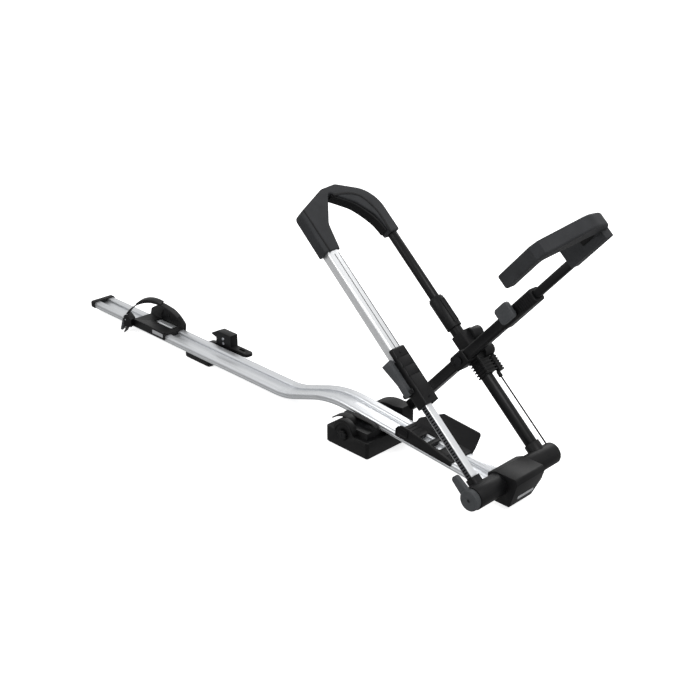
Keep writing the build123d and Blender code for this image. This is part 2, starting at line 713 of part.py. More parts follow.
# Arch over the wheel: a padded bow joining the tops of both legs
arch_low_reach = 640
arch_near_y = -103
arch_near_inner_y = -57
arch_far_y = 142
arch_far_inner_y = 110
arch_shoulder_drop = 48
arch_shoulder_y = -102
arch_crown_near_y = -5
arch_crown_near_drop = 4
arch_crown_reach = 801
arch_crown_y = 42
arch_crown_radius = 60
arch_shoulder_radius = 16
arch_inner_drop = 17
arch_inner_y = 9
arch_inner_near_rise = 66
arch_inner_near_y = -44
arch_brow_y = 72
arch_brow_drop = 64
arch_inner_far_y = 103
arch_inner_far_rise = 52
arch_far_drop = 44
arch_far_radius = 78
arch_half_depth = 16
arch_edge_radius = 4
arch_throat_radius = 10
arch_bend_radius = 40
with BuildPart() as top_arch:
    with BuildSketch(hoop_face(-arch_half_depth)) as arch_plan:
        with BuildLine():
            FilletPolyline((arch_near_y, arch_low_reach),
                           (arch_shoulder_y, arch_crown_reach - arch_shoulder_drop),
                           (arch_crown_near_y, arch_crown_reach - arch_crown_near_drop),
                           (arch_crown_y, arch_crown_reach),
                           (arch_far_y, arch_crown_reach - arch_far_drop),
                           (arch_far_y, arch_low_reach), (arch_far_inner_y, arch_low_reach),
                           (arch_inner_far_y, arch_low_reach + arch_inner_far_rise),
                           (arch_brow_y, arch_crown_reach - arch_brow_drop),
                           (arch_inner_y, arch_crown_reach - arch_inner_drop),
                           (arch_inner_near_y, arch_low_reach + arch_inner_near_rise),
                           (arch_near_inner_y, arch_low_reach),
                           radius=[arch_shoulder_radius, arch_crown_radius / 2,
                                   arch_crown_radius / 3, arch_far_radius,
                                   far_edge_radius, far_edge_radius, arch_bend_radius,
                                   arch_bend_radius, arch_throat_radius, arch_bend_radius])
            Line((arch_near_inner_y, arch_low_reach), (arch_near_y, arch_low_reach))
        make_face()
    extrude(amount=2 * arch_half_depth)
    arch_rims = top_arch.faces().filter_by(Plane(origin=(0, 0, 0), x_dir=across, z_dir=leg_out))
    fillet(arch_rims.sort_by(SortBy.AREA)[-2:].edges(), arch_edge_radius)
    with BuildSketch(leg_section(outer_y, outer_top_reach)):
        RectangleRounded(outer_width + 2 * running_gap, outer_depth + 2 * running_gap,
                         outer_radius)
    extrude(amount=outer_top_reach - arch_low_reach + overrun, mode=Mode.SUBTRACT)
    with BuildSketch(leg_section(far_y, upper_top_reach)):
        Circle(far_upper_radius + running_gap)
    extrude(amount=upper_top_reach - arch_low_reach + overrun, mode=Mode.SUBTRACT)
top_arch.part.label = "top_arch"
export_step(top_arch.part, "parts/top_arch.step")

# Carriage on the near leg: a collar and saddle that the release lever hangs on
carriage_low_reach = 226
carriage_collar_reach = 276
carriage_top_reach = 372
carriage_wall = 4.5
carriage_roof = 7
carriage_notch_reach = 318
carriage_notch_slant = 26
carriage_lip = 5
step_places_shares = (0.25, 0.5, 0.75)
step_width = 2
step_depth = 1.2
lever_pivot_reach = 268
lever_pin_radius = 2.5
release_hub_radius = 5.5
lever_play = 0.5
lever_low_out = -15
lever_top_out = 5
ear_height = 4.5
lever_tip_reach = 353
lever_thickness = 9
lever_wing_out = -27
lever_wing_reach = 290
lever_flare = 5
carriage_face_y = outer_y - outer_width / 2 - carriage_wall
lever_back_y = carriage_face_y - lever_play
lever_pivot_y = lever_back_y - release_hub_radius
carriage_length = carriage_top_reach - carriage_collar_reach
roof_out = outer_depth / 2 + carriage_roof
with BuildPart() as ratchet_carriage:
    with BuildSketch(leg_section(outer_y, carriage_collar_reach)):
        RectangleRounded(outer_width + 2 * carriage_wall, outer_depth + 2 * carriage_wall,
                         outer_radius + carriage_wall)
    extrude(amount=carriage_collar_reach - carriage_low_reach)
    with BuildSketch(leg_section(outer_y, carriage_top_reach, -carriage_lip)) as saddle_section:
        Rectangle(outer_width + 2 * carriage_wall, roof_out + carriage_lip,
                  align=(Align.CENTER, Align.MIN))
        fillet(saddle_section.vertices().group_by(Axis.Y)[-1], outer_radius)
    extrude(amount=carriage_top_reach - carriage_low_reach)
    fillet(ratchet_carriage.edges().filter_by(Axis.Y).group_by(Axis.Z)[-1], outer_radius)
    for share in step_places_shares:
        step_reach = carriage_collar_reach + carriage_length * share
        with BuildSketch(leg_section(outer_y, step_reach, roof_out)):
            Rectangle(outer_width + 2 * carriage_wall + overrun, 2 * step_depth)
        extrude(amount=step_width, mode=Mode.SUBTRACT)
    for ear_out in (lever_top_out + seat_gap, lever_low_out - seat_gap - ear_height):
        with BuildSketch(hoop_face(ear_out)):
            with Locations((lever_pivot_y, lever_pivot_reach)):
                Circle(release_hub_radius)
                Rectangle(2 * release_hub_radius + lever_play + carriage_wall,
                          2 * release_hub_radius, align=(Align.MIN, Align.CENTER))
        extrude(amount=ear_height)
    with BuildSketch(leg_side(carriage_face_y - overrun)):
        with BuildLine():
            Polyline((carriage_notch_reach, -outer_depth),
                     (carriage_notch_reach + carriage_notch_slant, outer_depth / 3),
                     (carriage_top_reach + overrun, outer_depth / 3),
                     (carriage_top_reach + overrun, -outer_depth), close=True)
        make_face()
    extrude(amount=overrun + outer_width / 2, mode=Mode.SUBTRACT)
    with BuildSketch(leg_section(outer_y, carriage_top_reach + overrun)):
        RectangleRounded(outer_width + 2 * running_gap, outer_depth + 2 * running_gap,
                         outer_radius)
    extrude(amount=carriage_top_reach + overrun - outer_low_reach, mode=Mode.SUBTRACT)
    with BuildSketch(leg_section(inner_y, outer_low_reach + overrun, inner_out)):
        add(inner_outline(slide_gap))
    extrude(amount=outer_low_reach + 2 * overrun - carriage_low_reach, mode=Mode.SUBTRACT)
    with BuildSketch(hoop_face(lever_low_out - ear_height - overrun)):
        with Locations((lever_pivot_y, lever_pivot_reach)):
            Circle(lever_pin_radius)
    extrude(amount=lever_top_out - lever_low_out + 2 * ear_height + 2 * overrun,
            mode=Mode.SUBTRACT)
    with BuildSketch(leg_side(carriage_face_y - overrun)):
        with Locations((pawl_reach, inner_out)):
            Rectangle(2 * pawl_length, pawl_width + 4 * slide_gap)
    extrude(amount=overrun + carriage_wall + outer_wall, mode=Mode.SUBTRACT)
ratchet_carriage.part.label = "ratchet_carriage"
export_step(ratchet_carriage.part, "parts/ratchet_carriage.step")

# Pin of the release lever
with BuildPart() as release_pin:
    with BuildSketch(hoop_face(lever_low_out - seat_gap - ear_height)):
        with Locations((lever_pivot_y, lever_pivot_reach)):
            Circle(lever_pin_radius)
    extrude(amount=lever_top_out - lever_low_out + 2 * seat_gap + 2 * ear_height)
release_pin.part.label = "release_pin"
export_step(release_pin.part, "parts/release_pin.step")

# Release lever: a paddle along the near side of the carriage
lever_outer_y = lever_back_y - lever_thickness
with BuildPart() as release_lever:
    with BuildSketch(hoop_face(lever_low_out)):
        with BuildLine():
            Polyline((lever_back_y, lever_pivot_reach), (lever_back_y, lever_tip_reach),
                     (lever_outer_y - lever_flare, lever_tip_reach),
                     (lever_outer_y - lever_flare / 4, lever_pivot_reach + 4 * lever_thickness),
                     (lever_pivot_y - release_hub_radius, lever_pivot_reach), close=True)
        make_face()
        with Locations((lever_pivot_y, lever_pivot_reach)):
            Circle(release_hub_radius)
    extrude(amount=lever_top_out - lever_low_out)
    fillet(release_lever.edges().filter_by(out_axis).sort_by(Axis.Z)[-2:], lever_flare)
    with BuildSketch(leg_side(lever_outer_y)):
        with BuildLine():
            Polyline((lever_wing_reach, lever_low_out + lever_flare),
                     (lever_wing_reach, lever_low_out), (lever_tip_reach, lever_wing_out),
                     (lever_tip_reach, lever_low_out + lever_flare), close=True)
        make_face()
    extrude(amount=lever_thickness)
    with BuildSketch(hoop_face(lever_low_out - overrun)):
        with Locations((lever_pivot_y, lever_pivot_reach)):
            Circle(lever_pin_radius + running_gap)
    extrude(amount=lever_top_out - lever_low_out + 2 * overrun, mode=Mode.SUBTRACT)
release_lever.part.label = "release_lever"
export_step(release_lever.part, "parts/release_lever.step")

# Pawl on the back of the release lever, reaching through the carriage to the rack
pawl_tooth = 3
pawl_tip_y = inner_near_y - slide_gap
with BuildPart() as release_pawl:
    with BuildSketch(hoop_face(inner_out - pawl_width / 2)):
        with BuildLine():
            Polyline((lever_back_y, pawl_reach - pawl_length / 2),
                     (lever_back_y, pawl_reach + pawl_length / 2),
                     (pawl_tip_y, pawl_reach + pawl_tooth / 2),
                     (pawl_tip_y, pawl_reach - pawl_tooth / 2), close=True)
        make_face()
    extrude(amount=pawl_width)
release_pawl.part.label = "release_pawl"
export_step(release_pawl.part, "parts/release_pawl.step")

# Housing of the arm's pivot, clamped round the far leg with ribs below
arm_y = 94
arm_width = 27
arm_depth = 27
arm_wall = 2
arm_low = -234
arm_top = 262
pivot_gap = 0.5
pivot_low_reach = 228
pivot_ribs_reach = 268
pivot_far_y = 147
pivot_depth = 42
pivot_out = 7
pivot_corner_radius = 6
rib_pitch = 8
rib_width = 3
rib_height = 3
knuckle_radius = 16
knuckle_length = 18
knuckle_out = 24
knuckle_drop = 8
knuckle_rise = 40
knuckle_reaches = (arm_pivot_reach - knuckle_drop, arm_pivot_reach + knuckle_rise)
hub_far_y = arm_y + arm_width / 2 + pivot_gap
pivot_near_y = hub_far_y + pivot_gap
pivot_width = pivot_far_y - pivot_near_y
pivot_middle_y = (pivot_far_y + pivot_near_y) / 2
rib_count = int((pivot_ribs_reach - pivot_low_reach) / rib_pitch)
with BuildPart() as arm_pivot_housing:
    with BuildSketch(leg_section(pivot_middle_y, pivot_top_reach, pivot_out)):
        RectangleRounded(pivot_width, pivot_depth, pivot_corner_radius)
    extrude(amount=pivot_top_reach - pivot_ribs_reach)
    with BuildSketch(leg_section(pivot_middle_y, pivot_ribs_reach, pivot_out)):
        RectangleRounded(pivot_width - 2 * rib_height, pivot_depth - 2 * rib_height,
                         pivot_corner_radius)
    extrude(amount=pivot_ribs_reach - pivot_low_reach)
    for rib in range(rib_count):
        rib_reach = pivot_low_reach + rib_width + rib * rib_pitch
        with BuildSketch(leg_section(pivot_middle_y, rib_reach, pivot_out)):
            RectangleRounded(pivot_width, pivot_depth, pivot_corner_radius)
        extrude(amount=rib_width)
    with BuildSketch(leg_side(pivot_far_y - knuckle_radius)):
        with Locations(*[(reach, knuckle_out) for reach in knuckle_reaches]):
            Circle(knuckle_radius)
    extrude(amount=knuckle_length + knuckle_radius)
    fillet(arm_pivot_housing.faces().sort_by(Axis.Y)[-2:].edges(), knuckle_radius / 5)
    with BuildSketch(leg_section(far_y, pivot_top_reach + overrun)):
        Circle(far_lower_radius + running_gap)
    extrude(amount=pivot_top_reach - pivot_low_reach + 2 * overrun, mode=Mode.SUBTRACT)
    with BuildSketch(leg_side(pivot_near_y - overrun)):
        with Locations((arm_pivot_reach, 0)):
            Circle(arm_bolt_radius + running_gap)
    extrude(amount=pivot_width + 2 * overrun, mode=Mode.SUBTRACT)
arm_pivot_housing.part.label = "arm_pivot_housing"
export_step(arm_pivot_housing.part, "parts/arm_pivot_housing.step")

# Bolt of the arm's pivot, with its head on the near side and its nut on the far side
bolt_head_radius = 10
bolt_head_height = 3
bolt_nut_radius = 8.5
bolt_nut_height = 8
hub_near_y = arm_y - arm_width / 2 - 2 * arm_wall
with BuildPart() as arm_pivot_bolt:
    with BuildSketch(leg_side(hub_near_y - pivot_gap - bolt_head_height)):
        with Locations((arm_pivot_reach, 0)):
            Circle(bolt_head_radius)
    extrude(amount=bolt_head_height)
    chamfer(arm_pivot_bolt.faces().sort_by(Axis.Y)[0].edges(), bolt_head_height / 5)
    with BuildSketch(leg_side(hub_near_y - pivot_gap)):
        with Locations((arm_pivot_reach, 0)):
            Circle(arm_bolt_radius)
    extrude(amount=pivot_far_y - hub_near_y + pivot_gap)
    with BuildSketch(leg_side(pivot_far_y)):
        with Locations((arm_pivot_reach, 0)):
            RegularPolygon(bolt_nut_radius, 6)
    extrude(amount=bolt_nut_height)
arm_pivot_bolt.part.label = "arm_pivot_bolt"
export_step(arm_pivot_bolt.part, "parts/arm_pivot_bolt.step")

# Tension rod beside the far leg, from the far barrel up to its ribbed spring barrel
spring_barrel_low = 222
spring_barrel_out = 18
spring_barrel_top = knuckle_reaches[0] - knuckle_radius - seat_gap
spring_barrel_radius = 11
ring_pitch = 7
ring_width = 3
ring_height = 2
ferrule_radius = 5
ferrule_length = 12
with BuildPart() as spring_barrel:
    with BuildSketch(leg_section(rod_y, spring_barrel_top, spring_barrel_out)):
        Circle(spring_barrel_radius - ring_height)
    extrude(amount=spring_barrel_top - spring_barrel_low)
    for ring in range(int((spring_barrel_top - spring_barrel_low) / ring_pitch) + 1):
        ring_reach = spring_barrel_low + ring_width + ring * ring_pitch
        with BuildSketch(leg_section(rod_y, ring_reach, spring_barrel_out)):
            Circle(spring_barrel_radius)
        extrude(amount=ring_width)
    with BuildSketch(leg_section(rod_y, spring_barrel_low, rod_out)):
        Circle(ferrule_radius)
    extrude(amount=ferrule_length)
    with BuildSketch(leg_section(rod_y, spring_barrel_low, rod_out)):
        Circle(rod_radius + running_gap)
    extrude(amount=ferrule_length + overrun, mode=Mode.SUBTRACT)
spring_barrel.part.label = "spring_barrel"
export_step(spring_barrel.part, "parts/spring_barrel.step")

with BuildPart() as tension_rod:
    with BuildSketch(leg_section(rod_y, spring_barrel_low - seat_gap, rod_out)):
        Circle(rod_radius)
    extrude(amount=spring_barrel_low - seat_gap - rod_low_reach)
tension_rod.part.label = "tension_rod"
export_step(tension_rod.part, "parts/tension_rod.step")

# Folding arm: a hollow bar with a hub on the pivot bolt
bush_radius = 8
hub_length = 50
hub_depth = 37
hub_edge_radius = 3
button_up = 207
button_stem_radius = 5
arm_end_radius = 9
with BuildPart() as arm_bar:
    with BuildSketch(arm_section(arm_low, arm_y)):
        RectangleRounded(arm_width, arm_depth, 2 * arm_wall)
        RectangleRounded(arm_width - 2 * arm_wall, arm_depth - 2 * arm_wall, arm_wall,
                         mode=Mode.SUBTRACT)
    extrude(amount=arm_top - arm_low)
    with BuildSketch(arm_section(arm_low, arm_y)):
        RectangleRounded(arm_width, arm_depth, 2 * arm_wall)
    extrude(amount=arm_end_radius)
    with BuildSketch(arm_side(arm_y + arm_width)):
        Circle(bush_radius)
    extrude(amount=2 * arm_width, mode=Mode.SUBTRACT)
    with BuildSketch(arm_side(arm_y)):
        with Locations((button_up, 0)):
            Circle(button_stem_radius + slide_gap)
    extrude(amount=arm_width, mode=Mode.SUBTRACT)
arm_bar.part.label = "arm_bar"
export_step(arm_bar.part, "parts/arm_bar.step")

with BuildPart() as arm_hub:
    with BuildSketch(arm_side(hub_far_y)):
        RectangleRounded(hub_length, hub_depth, arm_end_radius)
    extrude(amount=hub_far_y - hub_near_y)
    fillet(arm_hub.faces().sort_by(Axis.Y)[0].edges(), hub_edge_radius)
    with BuildSketch(arm_section(-hub_length / 2 - overrun, arm_y)):
        RectangleRounded(arm_width, arm_depth, 2 * arm_wall)
    extrude(amount=hub_length + 2 * overrun, mode=Mode.SUBTRACT)
    with BuildSketch(arm_side(hub_far_y + overrun)):
        Circle(bush_radius)
    extrude(amount=hub_far_y - hub_near_y + 2 * overrun, mode=Mode.SUBTRACT)
arm_hub.part.label = "arm_hub"
export_step(arm_hub.part, "parts/arm_hub.step")

with BuildPart() as arm_bush:
    with BuildSketch(arm_side(hub_far_y)):
        Circle(bush_radius)
        Circle(arm_bolt_radius + running_gap, mode=Mode.SUBTRACT)
    extrude(amount=hub_far_y - hub_near_y)
arm_bush.part.label = "arm_bush"
export_step(arm_bush.part, "parts/arm_bush.step")

# Sleeve at the arm's upper end, which guides the hook's tube
sleeve_low = 172
sleeve_top = 290
sleeve_width = 33
sleeve_depth = 33
sleeve_radius = 7
hook_tube_width = 19.6
hook_tube_radius = 5
hook_tube_low = 115
hook_socket_low = 412
hook_socket_depth = 26
with BuildPart() as arm_sleeve:
    with BuildSketch(arm_section(sleeve_low, arm_y)):
        RectangleRounded(sleeve_width, sleeve_depth, sleeve_radius)
    extrude(amount=sleeve_top - sleeve_low)
    fillet(arm_sleeve.faces().sort_by(Axis.Z)[-1].edges(), arm_wall)
    with BuildSketch(arm_section(sleeve_low - overrun, arm_y)):
        RectangleRounded(arm_width, arm_depth, 2 * arm_wall)
    extrude(amount=arm_top - sleeve_low + overrun, mode=Mode.SUBTRACT)
    with BuildSketch(arm_section(arm_top - overrun, arm_y)):
        RectangleRounded(hook_tube_width + 2 * slide_gap, hook_tube_width + 2 * slide_gap,
                         hook_tube_radius)
    extrude(amount=sleeve_top - arm_top + 2 * overrun, mode=Mode.SUBTRACT)
    with BuildSketch(arm_side(arm_y - arm_width / 2)):
        with Locations((button_up, 0)):
            Circle(button_stem_radius + slide_gap)
    extrude(amount=sleeve_width, mode=Mode.SUBTRACT)
arm_sleeve.part.label = "arm_sleeve"
export_step(arm_sleeve.part, "parts/arm_sleeve.step")

# Button that frees the hook's tube
button_length = 46
button_width = 40
button_height = 11
button_shift = 9
button_travel = 3
button_radius = 9
button_back_y = arm_y - sleeve_width / 2 - button_travel - pivot_gap
with BuildPart() as hook_button:
    with BuildSketch(arm_side(button_back_y)):
        with Locations((button_up, button_shift)):
            RectangleRounded(button_length, button_width, button_radius)
    extrude(amount=button_height)
    fillet(hook_button.faces().sort_by(Axis.Y)[0].edges(), button_height / 4)
    with BuildSketch(arm_side(button_back_y)):
        with Locations((button_up, 0)):
            Circle(button_stem_radius)
    extrude(amount=button_back_y - arm_y + arm_width / 2 + pivot_gap)
hook_button.part.label = "hook_button"
export_step(hook_button.part, "parts/hook_button.step")

# Tube of the wheel hook, sliding in the arm
with BuildPart() as hook_tube:
    with BuildSketch(arm_section(hook_tube_low, arm_y)):
        RectangleRounded(hook_tube_width, hook_tube_width, hook_tube_radius)
        RectangleRounded(hook_tube_width - 2 * arm_wall, hook_tube_width - 2 * arm_wall,
                         hook_tube_radius - arm_wall, mode=Mode.SUBTRACT)
    extrude(amount=hook_socket_low + hook_socket_depth - hook_tube_low)
hook_tube.part.label = "hook_tube"
export_step(hook_tube.part, "parts/hook_tube.step")

# Wheel hook: a padded crook that reaches over the tyre
hook_outer_y = 108
hook_inner_y = 82
hook_shoulder_up = 545
hook_crown_y = 25
hook_crown_up = 565
hook_brow_y = -95
hook_brow_up = 521
hook_tip_outer_y = -106
hook_tip_bend_up = 502
hook_tip_inner_y = -77
hook_tip_up = 396
hook_throat_up = 524
hook_inner_brow_up = 487
hook_rear = -37
hook_front = -5
hook_socket_rear = -25
hook_socket_front = 11
hook_corner_radius = 58
hook_throat_radius = 26
hook_bend_radius = 10
hook_edge_radius = 5
with BuildPart() as wheel_hook:
    with BuildSketch(hook_face(hook_rear)):
        with BuildLine():
            FilletPolyline((hook_outer_y, hook_socket_low), (hook_outer_y, hook_shoulder_up),
                           (hook_crown_y, hook_crown_up), (hook_brow_y, hook_brow_up),
                           (hook_tip_outer_y, hook_tip_bend_up), (hook_tip_outer_y, hook_tip_up),
                           (hook_tip_inner_y, hook_tip_up), (hook_tip_inner_y, hook_inner_brow_up),
                           (hook_inner_y, hook_throat_up), (hook_inner_y, hook_socket_low),
                           radius=[hook_corner_radius, hook_corner_radius, hook_bend_radius / 2,
                                   hook_bend_radius / 2, hook_bend_radius / 2,
                                   hook_bend_radius / 2, hook_bend_radius, hook_throat_radius])
            Line((hook_inner_y, hook_socket_low), (hook_outer_y, hook_socket_low))
        make_face()
    extrude(amount=hook_front - hook_rear)
    hook_sides = wheel_hook.faces().filter_by(Plane(origin=(0, 0, 0), x_dir=across, z_dir=leg_along))
    fillet(hook_sides.edges(), hook_edge_radius)
    with BuildSketch(hook_face(hook_socket_rear)):
        with Locations(((hook_outer_y + hook_inner_y) / 2, hook_socket_low)):
            Rectangle(hook_outer_y - hook_inner_y, hook_throat_up - hook_socket_low,
                      align=(Align.CENTER, Align.MIN))
    extrude(amount=hook_socket_front - hook_socket_rear)
    with BuildSketch(arm_section(hook_socket_low - overrun, arm_y)):
        RectangleRounded(hook_tube_width, hook_tube_width, hook_tube_radius)
    extrude(amount=hook_socket_depth + overrun, mode=Mode.SUBTRACT)
wheel_hook.part.label = "wheel_hook"
export_step(wheel_hook.part, "parts/wheel_hook.step")

# Front wheel cradle: slides on the sloping run, with a low near wall and a flared far wing
cradle_rear_x = 113
cradle_length = 173
cradle_lip = 7
cradle_floor = 3.5
cradle_wall = 3.5
cradle_near_rise = 27
cradle_wing_y = 72
cradle_wing_rise = 35
cradle_wing_root_y = 40
cradle_grip = tray_width / 2 + slide_gap
wing_corner_radius = 9
wing_rear_run = 52
near_corner_radius = 14
window_length = 28
window_width = 36
window_gap = 12
cradle_top = tray_height + cradle_floor
with BuildPart() as wheel_cradle:
    with BuildSketch(deck_cross(cradle_rear_x)):
        with BuildLine():
            Polyline((-cradle_grip - cradle_wall, tray_height - cradle_lip),
                     (-cradle_grip - cradle_wall, tray_height + cradle_near_rise),
                     (-cradle_grip, tray_height + cradle_near_rise),
                     (-cradle_grip + cradle_wall, cradle_top),
                     (cradle_wing_root_y - cradle_wall, cradle_top),
                     (cradle_wing_y - cradle_wall, tray_height + cradle_wing_rise),
                     (cradle_wing_y, tray_height + cradle_wing_rise),
                     (cradle_wing_root_y, tray_height - cradle_floor),
                     (cradle_grip + cradle_wall, tray_height - cradle_lip), close=True)
        make_face()
    extrude(amount=cradle_length)
    with BuildSketch(deck_cross(cradle_rear_x - overrun)):
        add(tray_outline(slide_gap))
    extrude(amount=cradle_length + 2 * overrun, mode=Mode.SUBTRACT)
    with BuildSketch(deck_side(cradle_rear_x, 2 * cradle_wing_y)):
        with BuildLine():
            FilletPolyline((-overrun, cradle_top), (wing_rear_run, tray_height + cradle_wing_rise),
                           (cradle_length - wing_corner_radius / 2, tray_height + cradle_wing_rise),
                           (cradle_length, cradle_top + cradle_wall),
                           radius=wing_corner_radius)
            Polyline((cradle_length, cradle_top + cradle_wall), (cradle_length + overrun, cradle_top),
                     (cradle_length + overrun, 2 * cradle_wing_y), (-overrun, 2 * cradle_wing_y),
                     (-overrun, cradle_top))
        make_face()
    extrude(amount=2 * cradle_wing_y, mode=Mode.SUBTRACT)
    with BuildSketch(deck_side(cradle_rear_x, 0)):
        with BuildLine():
            FilletPolyline((-overrun, cradle_top), (near_corner_radius, tray_height + cradle_near_rise),
                           (cradle_length / 4, tray_height + cradle_near_rise),
                           (cradle_length + overrun, cradle_top),
                           radius=near_corner_radius)
            Polyline((cradle_length + overrun, cradle_top),
                     (cradle_length + overrun, 2 * cradle_wing_y), (-overrun, 2 * cradle_wing_y),
                     (-overrun, cradle_top))
        make_face()
    extrude(amount=cradle_wing_y, mode=Mode.SUBTRACT)
    with BuildSketch(deck_at(cradle_rear_x, tray_height)):
        with Locations((cradle_length / 2, 0)):
            with GridLocations(window_length + window_gap, 0, 2, 1):
                RectangleRounded(window_length, window_width, near_corner_radius / 4)
    extrude(amount=cradle_floor + overrun, both=True, mode=Mode.SUBTRACT)
wheel_cradle.part.label = "wheel_cradle"
export_step(wheel_cradle.part, "parts/wheel_cradle.step")

# Rear wheel holder: slides on the level run, with a low near rim and a high far wall
holder_rear_x = -963
holder_front_x = -800
holder_low_z = 24
holder_near_top_z = 47
holder_far_top_z = 81
holder_floor = 3.3
holder_wall = 3.7
holder_far_y = 47
holder_rib_places = (-909, -876)
holder_rib_depth = 6
holder_rib_width = 3
holder_window_length = 84
holder_window_width = 30
holder_window_x = -868
deck_top_z = rear_deck_z + tray_height
holder_floor_z = deck_top_z + holder_floor
holder_length = holder_front_x - holder_rear_x
holder_middle_x = (holder_front_x + holder_rear_x) / 2
with BuildPart() as rear_holder:
    with BuildSketch(cross_at(holder_rear_x)):
        with BuildLine():
            Polyline((-cradle_grip - holder_wall, holder_low_z),
                     (-cradle_grip - holder_wall, holder_near_top_z),
                     (-cradle_grip, holder_near_top_z),
                     (-cradle_grip + holder_wall, holder_floor_z),
                     (cradle_grip - holder_wall, holder_floor_z),
                     (holder_far_y - holder_wall, holder_far_top_z),
                     (holder_far_y, holder_far_top_z),
                     (cradle_grip + holder_wall, holder_low_z), close=True)
        make_face()
    extrude(amount=holder_length)
    for rib_x in holder_rib_places:
        with BuildSketch(cross_at(rib_x)):
            with BuildLine():
                Polyline((cradle_grip - holder_wall - holder_rib_depth, holder_floor_z),
                         (holder_far_y - holder_wall, holder_far_top_z - holder_rib_depth),
                         (cradle_grip - holder_wall / 2, holder_floor_z), close=True)
            make_face()
        extrude(amount=holder_rib_width)
    with BuildSketch(cross_at(holder_rear_x - overrun, rear_deck_z)):
        add(tray_outline(slide_gap))
    extrude(amount=holder_length + 2 * overrun, mode=Mode.SUBTRACT)
    with BuildSketch(side_at(holder_far_y + overrun)):
        with BuildLine():
            ThreePointArc((holder_rear_x - overrun, holder_near_top_z),
                          (holder_middle_x - 2 * overrun, holder_far_top_z),
                          (holder_front_x + overrun, holder_floor_z))
            Polyline((holder_front_x + overrun, holder_floor_z),
                     (holder_front_x + overrun, 2 * holder_far_top_z),
                     (holder_rear_x - overrun, 2 * holder_far_top_z),
                     (holder_rear_x - overrun, holder_near_top_z))
        make_face()
    extrude(amount=holder_far_y + overrun, mode=Mode.SUBTRACT)
    with BuildSketch(Plane.XY.offset(rear_deck_z)):
        with Locations((holder_window_x, ridge_middle - holder_wall)):
            RectangleRounded(holder_window_length, holder_window_width, holder_wall)
    extrude(amount=holder_floor_z, mode=Mode.SUBTRACT)
rear_holder.part.label = "rear_holder"
export_step(rear_holder.part, "parts/rear_holder.step")

# Wheel strap: leaves a buckle on the near side and arches over to the far wall
strap_rear_x = -973
strap_near_y = -50
strap_turn = math.radians(26.4)
strap_width = 22
strap_thickness = 3
strap_low_z = 62
strap_crown_z = 110
strap_crown_reach = 92
strap_end_z = 72
strap_end_reach = 176
strap_shoulder_reach = 40
strap_shoulder_z = 93
strap_fall_reach = 142
strap_fall_z = 98
strap_start_reach = 9
strap_along = Vector(math.cos(strap_turn), math.sin(strap_turn), 0)
strap_side = Vector(math.sin(strap_turn), -math.cos(strap_turn), 0)


def strap_plane(aside):
    """Upright plane along the strap, a distance to its near side: X along it, Y up."""
    place = Vector(strap_rear_x, strap_near_y, 0) + strap_side * aside
    return Plane(origin=place, x_dir=strap_along, z_dir=strap_side)


with BuildPart() as wheel_strap:
    with BuildSketch(strap_plane(-strap_width / 2)):
        with BuildLine():
            ThreePointArc((strap_start_reach, strap_low_z), (strap_shoulder_reach, strap_shoulder_z),
                          (strap_crown_reach, strap_crown_z))
            ThreePointArc((strap_crown_reach, strap_crown_z), (strap_fall_reach, strap_fall_z),
                          (strap_end_reach, strap_end_z))
        trace(line_width=strap_thickness)
    extrude(amount=strap_width)
    add(rear_holder.part, mode=Mode.SUBTRACT)
wheel_strap.part.label = "wheel_strap"
export_step(wheel_strap.part, "parts/wheel_strap.step")

# Pad along the strap's crown, where it lies on the rim
strap_pad_low_reach = 46
strap_pad_low_z = 99
strap_pad_top_z = 115.5
strap_pad_high_reach = 124
strap_pad_high_z = 107.5
strap_pad_thickness = 6
with BuildPart() as strap_pad:
    with BuildSketch(strap_plane(-strap_width / 2 - strap_thickness / 2)):
        with BuildLine():
            ThreePointArc((strap_pad_low_reach, strap_pad_low_z),
                          ((strap_pad_low_reach + strap_pad_high_reach) / 2, strap_pad_top_z),
                          (strap_pad_high_reach, strap_pad_high_z))
        trace(line_width=strap_pad_thickness)
    extrude(amount=strap_width + strap_thickness)
    add(wheel_strap.part, mode=Mode.SUBTRACT)
strap_pad.part.label = "strap_pad"
export_step(strap_pad.part, "parts/strap_pad.step")

